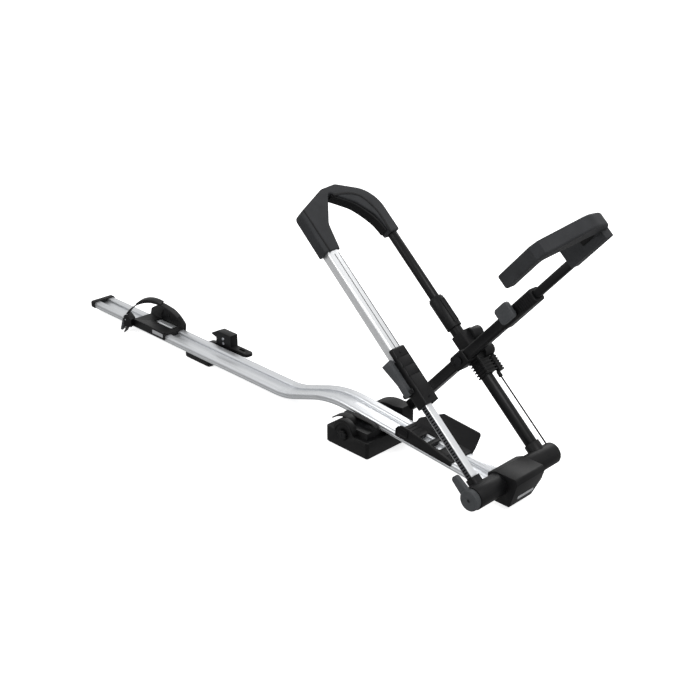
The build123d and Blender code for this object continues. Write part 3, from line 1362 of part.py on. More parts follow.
# Buckle block beside the holder's near rim, with an ear that joins it to the holder
buckle_low_z = 24
buckle_front_reach = 24
buckle_rear_reach = 1
buckle_top_z = 61
buckle_width = 28
buckle_pivot_reach = 6
buckle_pivot_z = 46
buckle_pin_radius = 2
buckle_gap = 0.4
buckle_cheek = 4
buckle_lever_width = buckle_width - 2 * buckle_cheek - 2 * buckle_gap
with BuildPart() as strap_buckle:
    with BuildSketch(strap_plane(-buckle_width / 2)):
        with BuildLine():
            Polyline((buckle_rear_reach, buckle_low_z), (buckle_rear_reach, buckle_top_z - buckle_cheek),
                     (buckle_rear_reach + buckle_cheek, buckle_top_z),
                     (buckle_rear_reach + 3 * buckle_cheek, buckle_top_z),
                     (buckle_front_reach, buckle_pivot_z), (buckle_front_reach, buckle_low_z),
                     close=True)
        make_face()
    extrude(amount=buckle_width)
    with BuildSketch(strap_plane(-buckle_lever_width / 2 - buckle_gap)):
        with Locations((buckle_rear_reach, buckle_top_z - buckle_cheek)):
            Rectangle(2 * (buckle_pivot_reach + buckle_cheek), 2 * (buckle_top_z - buckle_pivot_z),
                      align=(Align.CENTER, Align.CENTER))
    extrude(amount=buckle_lever_width + 2 * buckle_gap, mode=Mode.SUBTRACT)
    with BuildSketch(strap_plane(-buckle_width)):
        with Locations((buckle_pivot_reach, buckle_pivot_z)):
            Circle(buckle_pin_radius)
    extrude(amount=2 * buckle_width, mode=Mode.SUBTRACT)
    with Locations((strap_rear_x, -tray_width / 2 - slide_gap, rear_deck_z)):
        Box(2 * holder_length, tray_width, tray_height + slide_gap,
            align=(Align.CENTER, Align.MIN, Align.MIN), mode=Mode.SUBTRACT)
    add(wheel_strap.part, mode=Mode.SUBTRACT)
    add(rear_holder.part, mode=Mode.SUBTRACT)
strap_buckle.part.label = "strap_buckle"
export_step(strap_buckle.part, "parts/strap_buckle.step")

with BuildPart() as buckle_pin:
    with BuildSketch(strap_plane(-buckle_width / 2)):
        with Locations((buckle_pivot_reach, buckle_pivot_z)):
            Circle(buckle_pin_radius)
    extrude(amount=buckle_width)
buckle_pin.part.label = "buckle_pin"
export_step(buckle_pin.part, "parts/buckle_pin.step")

# Buckle lever, hanging down outside the block
buckle_tip_reach = -12
buckle_tip_z = 9
buckle_lever_thickness = 6
with BuildPart() as buckle_lever:
    with BuildSketch(strap_plane(-buckle_lever_width / 2)):
        with Locations((buckle_pivot_reach, buckle_pivot_z)):
            Circle(buckle_pin_radius * 2)
        with BuildLine():
            Polyline((buckle_pivot_reach, buckle_pivot_z + 2 * buckle_pin_radius),
                     (buckle_rear_reach - buckle_lever_thickness, buckle_pivot_z + buckle_pin_radius),
                     (buckle_tip_reach - buckle_lever_thickness / 2, buckle_tip_z + buckle_pin_radius),
                     (buckle_tip_reach + buckle_lever_thickness / 2, buckle_tip_z),
                     (buckle_rear_reach - buckle_gap, buckle_pivot_z - 2 * buckle_pin_radius),
                     (buckle_pivot_reach, buckle_pivot_z - 2 * buckle_pin_radius), close=True)
        make_face()
    extrude(amount=buckle_lever_width)
    with BuildSketch(strap_plane(-buckle_width)):
        with Locations((buckle_pivot_reach, buckle_pivot_z)):
            Circle(buckle_pin_radius + running_gap)
    extrude(amount=2 * buckle_width, mode=Mode.SUBTRACT)
buckle_lever.part.label = "buckle_lever"
export_step(buckle_lever.part, "parts/buckle_lever.step")

# Free tail of the strap below the buckle
tail_low_z = 3
tail_reach = 7
with BuildPart() as strap_tail:
    with BuildSketch(strap_plane(-strap_width / 2)):
        with BuildLine():
            Line((tail_reach, buckle_low_z), (buckle_rear_reach - buckle_cheek, tail_low_z))
        trace(line_width=strap_thickness)
    extrude(amount=strap_width)
    add(strap_buckle.part, mode=Mode.SUBTRACT)
strap_tail.part.label = "strap_tail"
export_step(strap_tail.part, "parts/strap_tail.step")
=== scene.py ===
import math

import bmesh
import bpy
from mathutils import Matrix, Vector


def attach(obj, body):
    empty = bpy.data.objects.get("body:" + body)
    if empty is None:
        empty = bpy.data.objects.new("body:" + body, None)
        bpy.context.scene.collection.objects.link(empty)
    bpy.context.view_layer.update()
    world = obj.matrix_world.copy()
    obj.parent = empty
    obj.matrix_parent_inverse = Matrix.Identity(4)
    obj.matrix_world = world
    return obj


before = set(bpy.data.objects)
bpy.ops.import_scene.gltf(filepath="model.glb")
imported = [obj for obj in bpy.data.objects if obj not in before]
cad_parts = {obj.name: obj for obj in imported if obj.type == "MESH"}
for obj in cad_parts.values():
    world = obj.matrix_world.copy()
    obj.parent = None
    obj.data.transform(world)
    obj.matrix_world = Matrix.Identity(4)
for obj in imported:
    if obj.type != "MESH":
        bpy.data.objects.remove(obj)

bl_info = {
    "name": "Roof Bike Carrier",
    "version": (1, 0, 0),
    "blender": (4, 5, 0),
    "location": "View3D > Sidebar > Carrier",
    "description": "Dresses the roof mounted bike carrier with its finishes and small parts",
    "category": "Object",
}

MM = 0.001

# Slanted axes of the folding hoop, the crossed arm, the tray's front run and the wheel strap
LEG_TURN = math.radians(41.74)
SHAFT = Vector((0.417, 0.0, 0.059))
LEG_ALONG = Vector((-math.cos(LEG_TURN), 0.0, math.sin(LEG_TURN)))
LEG_OUT = Vector((math.sin(LEG_TURN), 0.0, math.cos(LEG_TURN)))
ACROSS = Vector((0.0, 1.0, 0.0))
DECK_TURN = math.atan2(-0.0422, 0.501)
DECK_ALONG = Vector((math.cos(DECK_TURN), 0.0, math.sin(DECK_TURN)))
DECK_UP = Vector((-math.sin(DECK_TURN), 0.0, math.cos(DECK_TURN)))
DECK_START_MM = (-115, 75.7)
DECK_FALL = 0.08423
ARM_REACH_MM = 288
STRAP_TURN = math.radians(26.4)
STRAP_ALONG = Vector((math.cos(STRAP_TURN), math.sin(STRAP_TURN), 0.0))
STRAP_SIDE = Vector((math.sin(STRAP_TURN), -math.cos(STRAP_TURN), 0.0))
BUCKLE_MM = (-973, -50)

# Faces that the trim stands on, in millimetres
ARCH_FACE_OUT = 16
OUTER_TUBE_FACE_OUT = 13.7
CARRIAGE_SEAM_OUT = 20.6
CARRIAGE_SCREW_OUT = 20.9
SLEEVE_FACE_Y = 77.4
ARM_HUB_FACE_Y = 76.3
TRAY_SIDE_WALL_Y = -40.2
# Tooth tops and gullet floors of the rack, between which its painted shade deepens
RACK_TOP_Y = -93.4
RACK_GULLET_Y = -92.4

# How brightly the white surroundings light the part, shine in it and show behind it
ROOM_LIGHT = 0.55
ROOM_SHINE = 0.92
ROOM_SEEN = 1.0
FLOOR_LIFT = 0.72
FLOOR_SHINE = 0.42


def at(x, y, z):
    """A point given in millimetres."""
    return Vector((x, y, z)) * MM


def on_leg(reach, y, out):
    """A point given up the legs, across and out of the hoop, in millimetres."""
    return SHAFT + (LEG_ALONG * reach + LEG_OUT * out + ACROSS * y) * MM


def on_arm(up, y, back):
    """A point given up the crossed arm, across and back along the legs, in millimetres."""
    return on_leg(ARM_REACH_MM + back, y, up)


def on_deck(x, y, height):
    """A point given along the tray's sloping run, across it and up from its underside."""
    start_x, start_z = DECK_START_MM
    return at(x, y, start_z - (x - start_x) * DECK_FALL) + DECK_UP * height * MM


def on_strap(reach, z, side=0):
    """A point given along the strap's run from the buckle, its height and sideways."""
    return at(*BUCKLE_MM, z) + (STRAP_ALONG * reach + STRAP_SIDE * side) * MM


# Finishes


def linear(text):
    """An sRGB hex colour as linear red, green, blue and alpha."""
    parts = [int(text[i:i + 2], 16) / 255 for i in (1, 3, 5)]
    return [c / 12.92 if c <= 0.04045 else ((c + 0.055) / 1.055) ** 2.4 for c in parts] + [1.0]


def node(tree, kind, settings=(), links=(), **values):
    """Adds a node with its settings, its input values and its links."""
    made = tree.nodes.new(kind)
    for name, value in dict(settings).items():
        setattr(made, name, value)
    for name, value in values.items():
        made.inputs[name.replace("_", " ")].default_value = value
    for target, source in dict(links).items():
        tree.links.new(source, made.inputs[target])
    return made


def fresh(name):
    """A new material with an empty node tree."""
    material = bpy.data.materials.new(name)
    material.use_nodes = True
    material.node_tree.nodes.clear()
    return material, material.node_tree


def moulded(name, colour, shade, roughness, grain_mm, depth_mm):
    """Moulded plastic or rubber: spark-eroded grain and faint mottling."""
    material, tree = fresh(name)
    place = node(tree, "ShaderNodeTexCoord")
    grain = node(tree, "ShaderNodeTexNoise", links={"Vector": place.outputs["Object"]},
                 Scale=1 / (grain_mm * MM), Detail=4.0, Roughness=0.65)
    cloud = node(tree, "ShaderNodeTexNoise", links={"Vector": place.outputs["Object"]},
                 Scale=28.0, Detail=3.0, Roughness=0.5)
    tone = node(tree, "ShaderNodeValToRGB", links={"Fac": cloud.outputs["Fac"]})
    tone.color_ramp.elements[0].position, tone.color_ramp.elements[1].position = 0.3, 0.75
    tone.color_ramp.elements[0].color = linear(shade)
    tone.color_ramp.elements[1].color = linear(colour)
    gloss = node(tree, "ShaderNodeMapRange", links={"Value": grain.outputs["Fac"]})
    gloss.inputs["To Min"].default_value = roughness - 0.06
    gloss.inputs["To Max"].default_value = roughness + 0.06
    bump = node(tree, "ShaderNodeBump", links={"Height": grain.outputs["Fac"]},
                Strength=0.5, Distance=depth_mm * MM)
    surface = node(tree, "ShaderNodeBsdfPrincipled", IOR=1.5, Specular_IOR_Level=0.17,
                   links={"Base Color": tone.outputs["Color"], "Roughness": gloss.outputs["Result"],
                          "Normal": bump.outputs["Normal"]})
    node(tree, "ShaderNodeOutputMaterial", links={"Surface": surface.outputs["BSDF"]})
    return material


def painted_shade_inside(material, top_mm, floor_mm):
    """Painted shade: darkens to near black what lies deeper than a face across the carrier, as in
    the shade of a rack's gullets.
    """
    tree = material.node_tree
    surface = next(n for n in tree.nodes if n.type == "BSDF_PRINCIPLED")
    unshaded_colour = surface.inputs["Base Color"].links[0].from_socket
    place = node(tree, "ShaderNodeTexCoord")
    apart = node(tree, "ShaderNodeSeparateXYZ", links={"Vector": place.outputs["Object"]})
    # Painted shade: from the face at top_mm to the floor at floor_mm the colour turns near black
    depth = node(tree, "ShaderNodeMapRange", links={"Value": apart.outputs["Y"]})
    depth.inputs["From Min"].default_value = top_mm * MM
    depth.inputs["From Max"].default_value = floor_mm * MM
    mixed = node(tree, "ShaderNodeMixRGB", Color2=linear("#050505"),
                 links={"Fac": depth.outputs["Result"], "Color1": unshaded_colour})
    tree.links.new(mixed.outputs["Color"], surface.inputs["Base Color"])
    return material


def extruded(name, colour, shade, turn):
    """Satin anodised extrusion: fine die lines along its length, which lies at a turn about Y."""
    material, tree = fresh(name)
    place = node(tree, "ShaderNodeTexCoord")
    along = node(tree, "ShaderNodeMapping", links={"Vector": place.outputs["Object"]},
                 Rotation=(0.0, turn, 0.0))
    stretch = node(tree, "ShaderNodeMapping", links={"Vector": along.outputs["Vector"]},
                   Scale=(1.0, 900.0, 900.0))
    lines = node(tree, "ShaderNodeTexNoise", links={"Vector": stretch.outputs["Vector"]},
                 Scale=1.0, Detail=3.0, Roughness=0.6)
    tone = node(tree, "ShaderNodeValToRGB", links={"Fac": lines.outputs["Fac"]})
    tone.color_ramp.elements[0].position, tone.color_ramp.elements[1].position = 0.3, 0.7
    tone.color_ramp.elements[0].color = linear(shade)
    tone.color_ramp.elements[1].color = linear(colour)
    gloss = node(tree, "ShaderNodeMapRange", links={"Value": lines.outputs["Fac"]})
    gloss.inputs["To Min"].default_value = 0.28
    gloss.inputs["To Max"].default_value = 0.42
    bump = node(tree, "ShaderNodeBump", links={"Height": lines.outputs["Fac"]},
                Strength=0.12, Distance=0.05 * MM)
    surface = node(tree, "ShaderNodeBsdfPrincipled", Metallic=0.85,
                   links={"Base Color": tone.outputs["Color"], "Roughness": gloss.outputs["Result"],
                          "Normal": bump.outputs["Normal"]})
    node(tree, "ShaderNodeOutputMaterial", links={"Surface": surface.outputs["BSDF"]})
    return material


def metal(name, colour, shade, low, high):
    """Zinc plated steel with a faintly cloudy passivated skin."""
    material, tree = fresh(name)
    place = node(tree, "ShaderNodeTexCoord")
    cloud = node(tree, "ShaderNodeTexNoise", links={"Vector": place.outputs["Object"]},
                 Scale=160.0, Detail=4.0, Roughness=0.6)
    tone = node(tree, "ShaderNodeValToRGB", links={"Fac": cloud.outputs["Fac"]})
    tone.color_ramp.elements[0].color = linear(shade)
    tone.color_ramp.elements[1].color = linear(colour)
    gloss = node(tree, "ShaderNodeMapRange", links={"Value": cloud.outputs["Fac"]})
    gloss.inputs["To Min"].default_value = low
    gloss.inputs["To Max"].default_value = high
    surface = node(tree, "ShaderNodeBsdfPrincipled", Metallic=1.0,
                   links={"Base Color": tone.outputs["Color"],
                          "Roughness": gloss.outputs["Result"]})
    node(tree, "ShaderNodeOutputMaterial", links={"Surface": surface.outputs["BSDF"]})
    return material


# Which node has which finish, with the width of its edge round in millimetres
FINISHES = {
    "anodised_tray": ("wheel_tray",),
    "anodised_leg": ("near_leg_inner", "near_leg_outer"),
    "moulded_nylon": ("tray_end_cap", "front_foot_base", "arm_rest", "rear_foot_base", "clamp_knob",
                      "rear_foot_bracket", "pivot_housing", "near_barrel", "far_barrel",
                      "far_leg_collar", "ratchet_carriage", "release_pawl", "arm_pivot_housing",
                      "spring_barrel", "arm_hub", "arm_bush", "arm_sleeve", "wheel_cradle",
                      "rear_holder", "strap_buckle"),
    "overmoulded_rubber": ("top_arch", "wheel_hook"),
    "moulded_grey": ("shaft_lever", "release_lever", "hook_button", "buckle_lever"),
    "powder_coat": ("far_leg_lower", "far_leg_upper", "arm_bar", "hook_tube"),
    "rack_nylon": ("near_leg_rack",),
    "black_oxide": ("lock_cylinder", "arm_pivot_bolt", "tension_rod", "release_pin"),
    "foot_rubber": ("front_foot_pad", "rear_foot_pad"),
    "strap_rubber": ("wheel_strap", "strap_pad", "strap_tail"),
    "zinc_steel": ("front_foot_bolts", "rear_foot_bolts", "hinge_shaft", "buckle_pin"),
}
EDGES_MM = {"anodised_tray": 0.5, "anodised_leg": 0.6, "moulded_nylon": 0.9,
            "overmoulded_rubber": 1.6, "moulded_grey": 0.8, "powder_coat": 0.8, "rack_nylon": 0.3,
            "black_oxide": 0.3, "foot_rubber": 1.0, "strap_rubber": 0.6, "zinc_steel": 0.3}


def make_finishes(sizes):
    """All the carrier's materials by finish."""
    return {
        # Satin silver anodising over drawn lines: pale, with soft streaks of reflection. The tray
        # is given a darker silver than the legs, as painted shade standing for the shade on its
        # side faces
        "anodised_tray": extruded("Satin anodised tray", sizes.tray, "#BEC0C3", 0.0),
        "anodised_leg": extruded("Satin anodised leg", sizes.silver, "#D8DADC", -LEG_TURN),
        # Glass-filled nylon with a fine eroded grain: deep black with a broad dull sheen
        "moulded_nylon": moulded("Grained black nylon", sizes.black, "#0A0A0B", 0.45, 1.1, 0.12),
        # Soft rubber skin over a core: matt charcoal
        "overmoulded_rubber": moulded("Soft charcoal overmould", "#2B2C2E", "#222325",
                                      0.6, 1.4, 0.1),
        # Near-black rubber of the darker inner cushions, also laid in strips as painted shade in
        # the grooves between the mouldings
        "cushion_rubber_and_groove_shade": moulded("Dark cushion rubber and groove shade", "#0C0C0D", "#080809", 0.6, 1.4, 0.08),
        # The rack is a harder, shinier nylon than the housings, in a paler grey, with painted shade
        # darkening the gullets between its teeth
        "rack_nylon": painted_shade_inside(
            moulded("Semi-gloss rack nylon", "#4A4B4E", "#3E3F42", 0.35, 0.9, 0.05),
            RACK_TOP_Y, RACK_GULLET_Y),
        # Grey-tinted nylon of the parts a hand works
        "moulded_grey": moulded("Grained grey nylon", "#434446", "#383A3C", 0.5, 1.1, 0.1),
        # Semi-gloss powder coat with its slight orange peel
        "powder_coat": moulded("Black powder coat", "#0F0F10", "#0B0B0C", 0.36, 2.4, 0.04),
        # Blackened steel of the rod and the screws: dark with a thin oily gleam
        "black_oxide": moulded("Blackened steel", "#17181A", "#101012", 0.3, 0.8, 0.02),
        # Bare label plates: pale satin film, left blank
        "blank_label": moulded("Blank label film", "#9B9C9E", "#8E8F91", 0.35, 3.0, 0.02),
        "foot_rubber": moulded("Matt sole rubber", "#1C1C1C", "#141414", 0.75, 0.9, 0.15),
        "strap_rubber": moulded("Smooth strap rubber", "#171718", "#101011", 0.5, 1.6, 0.05),
        "zinc_steel": metal("Zinc plated steel", "#C9CBCE", "#A9ACB0", 0.25, 0.4),
    }


def soften(piece, width_mm):
    """Live rounding of a carried-over solid's hard edges."""
    piece.modifiers.new("Weld", "WELD").merge_threshold = 0.00001
    flat = piece.modifiers.new("Flat faces", "DECIMATE")
    flat.decimate_type = "DISSOLVE"
    flat.angle_limit = math.radians(0.6)
    edge = piece.modifiers.new("Edge round", "BEVEL")
    edge.width = width_mm * MM
    edge.segments = 2
    edge.limit_method = "ANGLE"
    edge.angle_limit = math.radians(32)
    edge.harden_normals = True


# Modelling helpers


def nothing_selected():
    bpy.ops.object.select_all(action="DESELECT")


def only(piece):
    """Makes one piece the active and only selected one."""
    nothing_selected()
    piece.select_set(True)
    bpy.context.view_layer.objects.active = piece


def pick(piece, kind, wanted):
    """In edit mode, selects the vertices, edges or faces of one piece for which wanted is true."""
    bpy.ops.mesh.select_mode(type=kind)
    bpy.ops.mesh.select_all(action="DESELECT")
    shape = bmesh.from_edit_mesh(piece.data)
    for part in {"VERT": shape.verts, "EDGE": shape.edges, "FACE": shape.faces}[kind]:
        if wanted(part):
            part.select_set(True)
    shape.select_flush_mode()
    bmesh.update_edit_mesh(piece.data)


def apply_modifiers(piece):
    for name in [m.name for m in piece.modifiers]:
        bpy.ops.object.modifier_apply(modifier=name)


def settle(piece, name, finish, body):
    """Names a finished piece, gives it its finish and lets it ride on its body."""
    only(piece)
    bpy.ops.object.transform_apply(location=True, rotation=True, scale=True)
    bpy.ops.object.shade_smooth_by_angle(angle=math.radians(38))
    piece.name = name
    piece.data.name = name
    piece.data.materials.clear()
    piece.data.materials.append(finish)
    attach(piece, body)
    return piece


def turned(x_dir, z_dir):
    """Turn that takes local X and Z to the given directions."""
    z = z_dir.normalized()
    y = z.cross(x_dir).normalized()
    x = y.cross(z)
    return Matrix((x, y, z)).transposed().to_4x4()


def smoothed(points, steps):
    """A route through the points, with steps between each two, that bends evenly at them."""
    route = []
    for k in range(len(points) - 1):
        p0, p1, p2, p3 = (points[max(k - 1, 0)], points[k], points[k + 1],
                          points[min(k + 2, len(points) - 1)])
        for step in range(steps):
            t = step / steps
            route.append(0.5 * ((2 * p1) + (p2 - p0) * t + (2 * p0 - 5 * p1 + 4 * p2 - p3) * t * t
                                + (3 * p1 - 3 * p2 + p3 - p0) * t ** 3))
    return route + [points[-1]]


def strip(route, across, thickness, edge):
    """A band drawn out along a route from one edge, given its thickness and softened edges.

    The route runs through the middle of the band, across is its width as a vector.
    """
    first = route[1] - route[0]
    nothing_selected()
    bpy.ops.mesh.primitive_plane_add(size=1)
    band = bpy.context.active_object
    band.matrix_world = (Matrix.Translation((route[0] + route[1]) / 2)
                         @ turned(first, first.cross(across)) @ Matrix.Diagonal(
                             (first.length, across.length, 1, 1)))
    bpy.ops.object.transform_apply(location=True, rotation=True, scale=True)
    bpy.ops.object.mode_set(mode="EDIT")
    middle = (route[0] + route[1]) / 2
    pick(band, "EDGE", lambda e: all((v.co - middle).dot(first) > 0 for v in e.verts))
    for k in range(1, len(route) - 1):
        bpy.ops.mesh.extrude_region_move(TRANSFORM_OT_translate={"value": route[k + 1] - route[k]})
    bpy.ops.mesh.select_all(action="SELECT")
    bpy.ops.mesh.normals_make_consistent(inside=False)
    bpy.ops.object.mode_set(mode="OBJECT")
    wall = band.modifiers.new("Thickness", "SOLIDIFY")
    wall.thickness = thickness
    wall.offset = 0
    soft = band.modifiers.new("Edge round", "BEVEL")
    soft.width = edge
    soft.segments = 3
    soft.limit_method = "ANGLE"
    soft.angle_limit = math.radians(50)
    apply_modifiers(band)
    return band


def pad(middle, x_dir, up, size, corner, edge, rim=0.0, sunk=0.0):
    """A block with rounded corners, on whose face a rim may stand round a sunken field."""
    nothing_selected()
    bpy.ops.mesh.primitive_cube_add(size=1)
    block = bpy.context.active_object
    block.scale = size
    bpy.ops.object.transform_apply(location=True, rotation=True, scale=True)
    bpy.ops.object.mode_set(mode="EDIT")
    pick(block, "EDGE", lambda e: abs(e.verts[0].co.z - e.verts[1].co.z) > size[2] / 2)
    bpy.ops.mesh.bevel(offset=corner, segments=6, affect="EDGES")
    if rim:
        pick(block, "FACE", lambda f: f.normal.z > 0.9)
        bpy.ops.mesh.inset(thickness=rim, depth=0)
        bpy.ops.mesh.inset(thickness=sunk, depth=-sunk)
    bpy.ops.object.mode_set(mode="OBJECT")
    soft = block.modifiers.new("Edge round", "BEVEL")
    soft.width = edge
    soft.segments = 2
    soft.limit_method = "ANGLE"
    soft.angle_limit = math.radians(30)
    apply_modifiers(block)
    block.matrix_world = Matrix.Translation(middle) @ turned(x_dir, up)
    bpy.ops.object.transform_apply(location=True, rotation=True, scale=True)
    return block


def screw(head, up, radius, height, socket=0.45):
    """A round screw head with a round socket."""
    nothing_selected()
    bpy.ops.mesh.primitive_cylinder_add(vertices=36, radius=radius, depth=height)
    made = bpy.context.active_object
    bpy.ops.object.mode_set(mode="EDIT")
    pick(made, "FACE", lambda f: f.normal.z > 0.9)
    bpy.ops.mesh.inset(thickness=radius * 0.12, depth=0)
    bpy.ops.mesh.inset(thickness=radius * (0.88 - socket), depth=0)
    bpy.ops.mesh.inset(thickness=radius * 0.04, depth=-height * 0.6)
    pick(made, "EDGE", lambda e: all(v.co.z > height * 0.45 and v.co.xy.length > radius * 0.95
                                     for v in e.verts))
    bpy.ops.mesh.bevel(offset=height * 0.3, segments=3, affect="EDGES")
    bpy.ops.object.mode_set(mode="OBJECT")
    side = Vector((0, 1, 0)) if abs(up.x) > 0.5 else Vector((1, 0, 0))
    made.matrix_world = Matrix.Translation(head) @ turned(side, up)
    bpy.ops.object.transform_apply(location=True, rotation=True, scale=True)
    return made


def copied(piece, shift):
    """A copy of a piece with its own mesh, moved by shift."""
    only(piece)
    bpy.ops.object.duplicate(linked=False)
    twin = bpy.context.active_object
    bpy.ops.transform.translate(value=shift)
    return twin


def joined(pieces):
    """Several meshes as one piece."""
    nothing_selected()
    for piece in pieces:
        piece.select_set(True)
    bpy.context.view_layer.objects.active = pieces[0]
    bpy.ops.object.join()
    return pieces[0]


class CarrierSizes(bpy.types.PropertyGroup):
    """Colours of the carrier's dressing."""
    black: bpy.props.StringProperty(name="Black", description="Colour of the moulded nylon parts",
                                    default="#101011")
    silver: bpy.props.StringProperty(name="Silver", description="Colour of the anodised legs",
                                     default="#E8E9EA")
    # Painted shade: the tray's silver is set darker than the legs' to stand for the shade on its
    # side faces
    tray: bpy.props.StringProperty(name="Tray", description="Colour of the anodised tray",
                                   default="#DFE1E3")


class CARRIER_OT_stage(bpy.types.Operator):
    """Pale floor, soft lamps and the camera at the photograph's angle"""
    bl_idname = "carrier.stage"
    bl_label = "Stage and Camera"

    def execute(self, context):
        scene = context.scene
        scene.view_settings.view_transform = "Standard"
        lens = bpy.data.cameras.new("Front left view")
        lens.sensor_width = 36.0
        lens.lens = 1150 / 700 * 36.0
        lens.clip_end = 60.0
        eye = bpy.data.objects.new("Front left view", lens)
        eye.location = (1.736, -1.796, 1.371)
        eye.rotation_euler = (math.radians(65.6), 0.0, math.radians(45.26))
        scene.collection.objects.link(eye)
        scene.camera = eye
        nothing_selected()
        bpy.ops.mesh.primitive_plane_add(size=60.0, location=(0, 0, -0.0005))
        floor = context.active_object
        floor.name = "floor"
        material, tree = fresh("Pale studio floor")
        path = node(tree, "ShaderNodeLightPath")
        seen = node(tree, "ShaderNodeMath", {"operation": "MAXIMUM"},
                    links={0: path.outputs["Is Glossy Ray"],
                           1: path.outputs["Is Transmission Ray"]})
        paint = node(tree, "ShaderNodeBsdfDiffuse", Color=linear("#F4F4F4"))
        lift = node(tree, "ShaderNodeMath", {"operation": "MULTIPLY"},
                    links={0: path.outputs["Is Camera Ray"]})
        lift.inputs[1].default_value = FLOOR_LIFT
        haze = node(tree, "ShaderNodeEmission", links={"Strength": lift.outputs[0]})
        lit = node(tree, "ShaderNodeAddShader", links={0: paint.outputs[0], 1: haze.outputs[0]})
        glow = node(tree, "ShaderNodeEmission", Color=(1, 1, 1, 1), Strength=FLOOR_SHINE)
        mixed = node(tree, "ShaderNodeMixShader",
                     links={0: seen.outputs[0], 1: lit.outputs[0], 2: glow.outputs[0]})
        node(tree, "ShaderNodeOutputMaterial", links={"Surface": mixed.outputs[0]})
        floor.data.materials.append(material)
        world = bpy.data.worlds.new("Soft room")
        world.use_nodes = True
        sky = world.node_tree
        sky.nodes.clear()
        path = node(sky, "ShaderNodeLightPath")
        lit = node(sky, "ShaderNodeBackground", Color=(1, 1, 1, 1), Strength=ROOM_LIGHT)
        shine = node(sky, "ShaderNodeBackground", Color=(1, 1, 1, 1), Strength=ROOM_SHINE)
        shown = node(sky, "ShaderNodeBackground", Color=(1, 1, 1, 1), Strength=ROOM_SEEN)
        room = node(sky, "ShaderNodeMixShader",
                    links={0: path.outputs["Is Glossy Ray"], 1: lit.outputs[0],
                           2: shine.outputs[0]})
        either = node(sky, "ShaderNodeMixShader",
                      links={0: path.outputs["Is Camera Ray"], 1: room.outputs[0],
                             2: shown.outputs[0]})
        node(sky, "ShaderNodeOutputWorld", links={"Surface": either.outputs[0]})
        scene.world = world
        for name, place, size, power in (("Key lamp", (2.2, -0.6, 2.6), 1.6, 60.0),
                                         ("Side lamp", (-1.2, -2.6, 1.8), 1.8, 28.0),
                                         ("Back lamp", (-0.8, 2.4, 2.2), 1.4, 26.0)):
            lamp = bpy.data.lights.new(name, "AREA")
            lamp.size = size
            lamp.energy = power
            stand = bpy.data.objects.new(name, lamp)
            stand.location = place
            aim = Vector((0, 0, 0.2)) - Vector(place)
            stand.rotation_euler = aim.to_track_quat("-Z", "Y").to_euler()
            scene.collection.objects.link(stand)
        return {"FINISHED"}


class CARRIER_OT_finishes(bpy.types.Operator):
    """Gives every solid its finish and rounds its edges"""
    bl_idname = "carrier.finishes"
    bl_label = "Finishes"

    def execute(self, context):
        materials = make_finishes(context.scene.carrier_sizes)
        for finish, names in FINISHES.items():
            for name in names:
                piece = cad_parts[name]
                piece.data.materials.clear()
                piece.data.materials.append(materials[finish])
                only(piece)
                bpy.ops.object.shade_smooth()
                soften(piece, EDGES_MM[finish])
        missing = set(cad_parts) - {n for names in FINISHES.values() for n in names}
        if missing:
            raise RuntimeError("no finish for " + ", ".join(sorted(missing)))
        return {"FINISHED"}


class CARRIER_OT_arch_trim(bpy.types.Operator):
    """Near-black strips as painted shade in the seams, and the inner cushion of the top arch"""
    bl_idname = "carrier.arch_trim"
    bl_label = "Arch Trim"

    def execute(self, context):
        skin = bpy.data.materials["Dark cushion rubber and groove shade"]
        # Painted shade: near-black strips stand where the arch's seams are grooves
        near = strip([on_leg(reach, -89, ARCH_FACE_OUT) for reach in (638, 680, 720, 757)],
                     LEG_OUT * 1.4 * MM, 4.4 * MM, 0.3 * MM)
        settle(near, "arch_near_seam_shade", skin, "hoop_upper")
        line = smoothed([on_leg(reach, y, ARCH_FACE_OUT) for y, reach in
                         ((111, 640), (112, 700), (97, 744), (76, 762), (47, 770), (16, 773))], 5)
        far = strip(line, LEG_OUT * 1.4 * MM, 6.0 * MM, 0.3 * MM)
        settle(far, "arch_far_seam_shade", skin, "hoop_upper")
        rim = smoothed([on_leg(reach, y, 0) for y, reach in
                        ((106, 648), (98, 686), (70, 733), (40, 758), (14, 776))], 5)
        cushion = strip(rim, LEG_OUT * 25 * MM, 7.0 * MM, 2.4 * MM)
        settle(cushion, "arch_cushion", skin, "hoop_upper")
        return {"FINISHED"}


class CARRIER_OT_hook_trim(bpy.types.Operator):
    """Inner cushion of the wheel hook"""
    bl_idname = "carrier.hook_trim"
    bl_label = "Hook Trim"

    def execute(self, context):
        skin = bpy.data.materials["Dark cushion rubber and groove shade"]
        line = smoothed([on_arm(up, y, 21) for y, up in
                         ((-77, 402), (-77, 440), (-76, 478), (-55, 493), (0, 505), (50, 517),
                          (72, 518), (81, 500), (82, 468))], 4)
        cushion = strip(line, LEG_ALONG * 27 * MM, 5.0 * MM, 1.8 * MM)
        settle(cushion, "hook_cushion", skin, "sliding_hook")
        return {"FINISHED"}


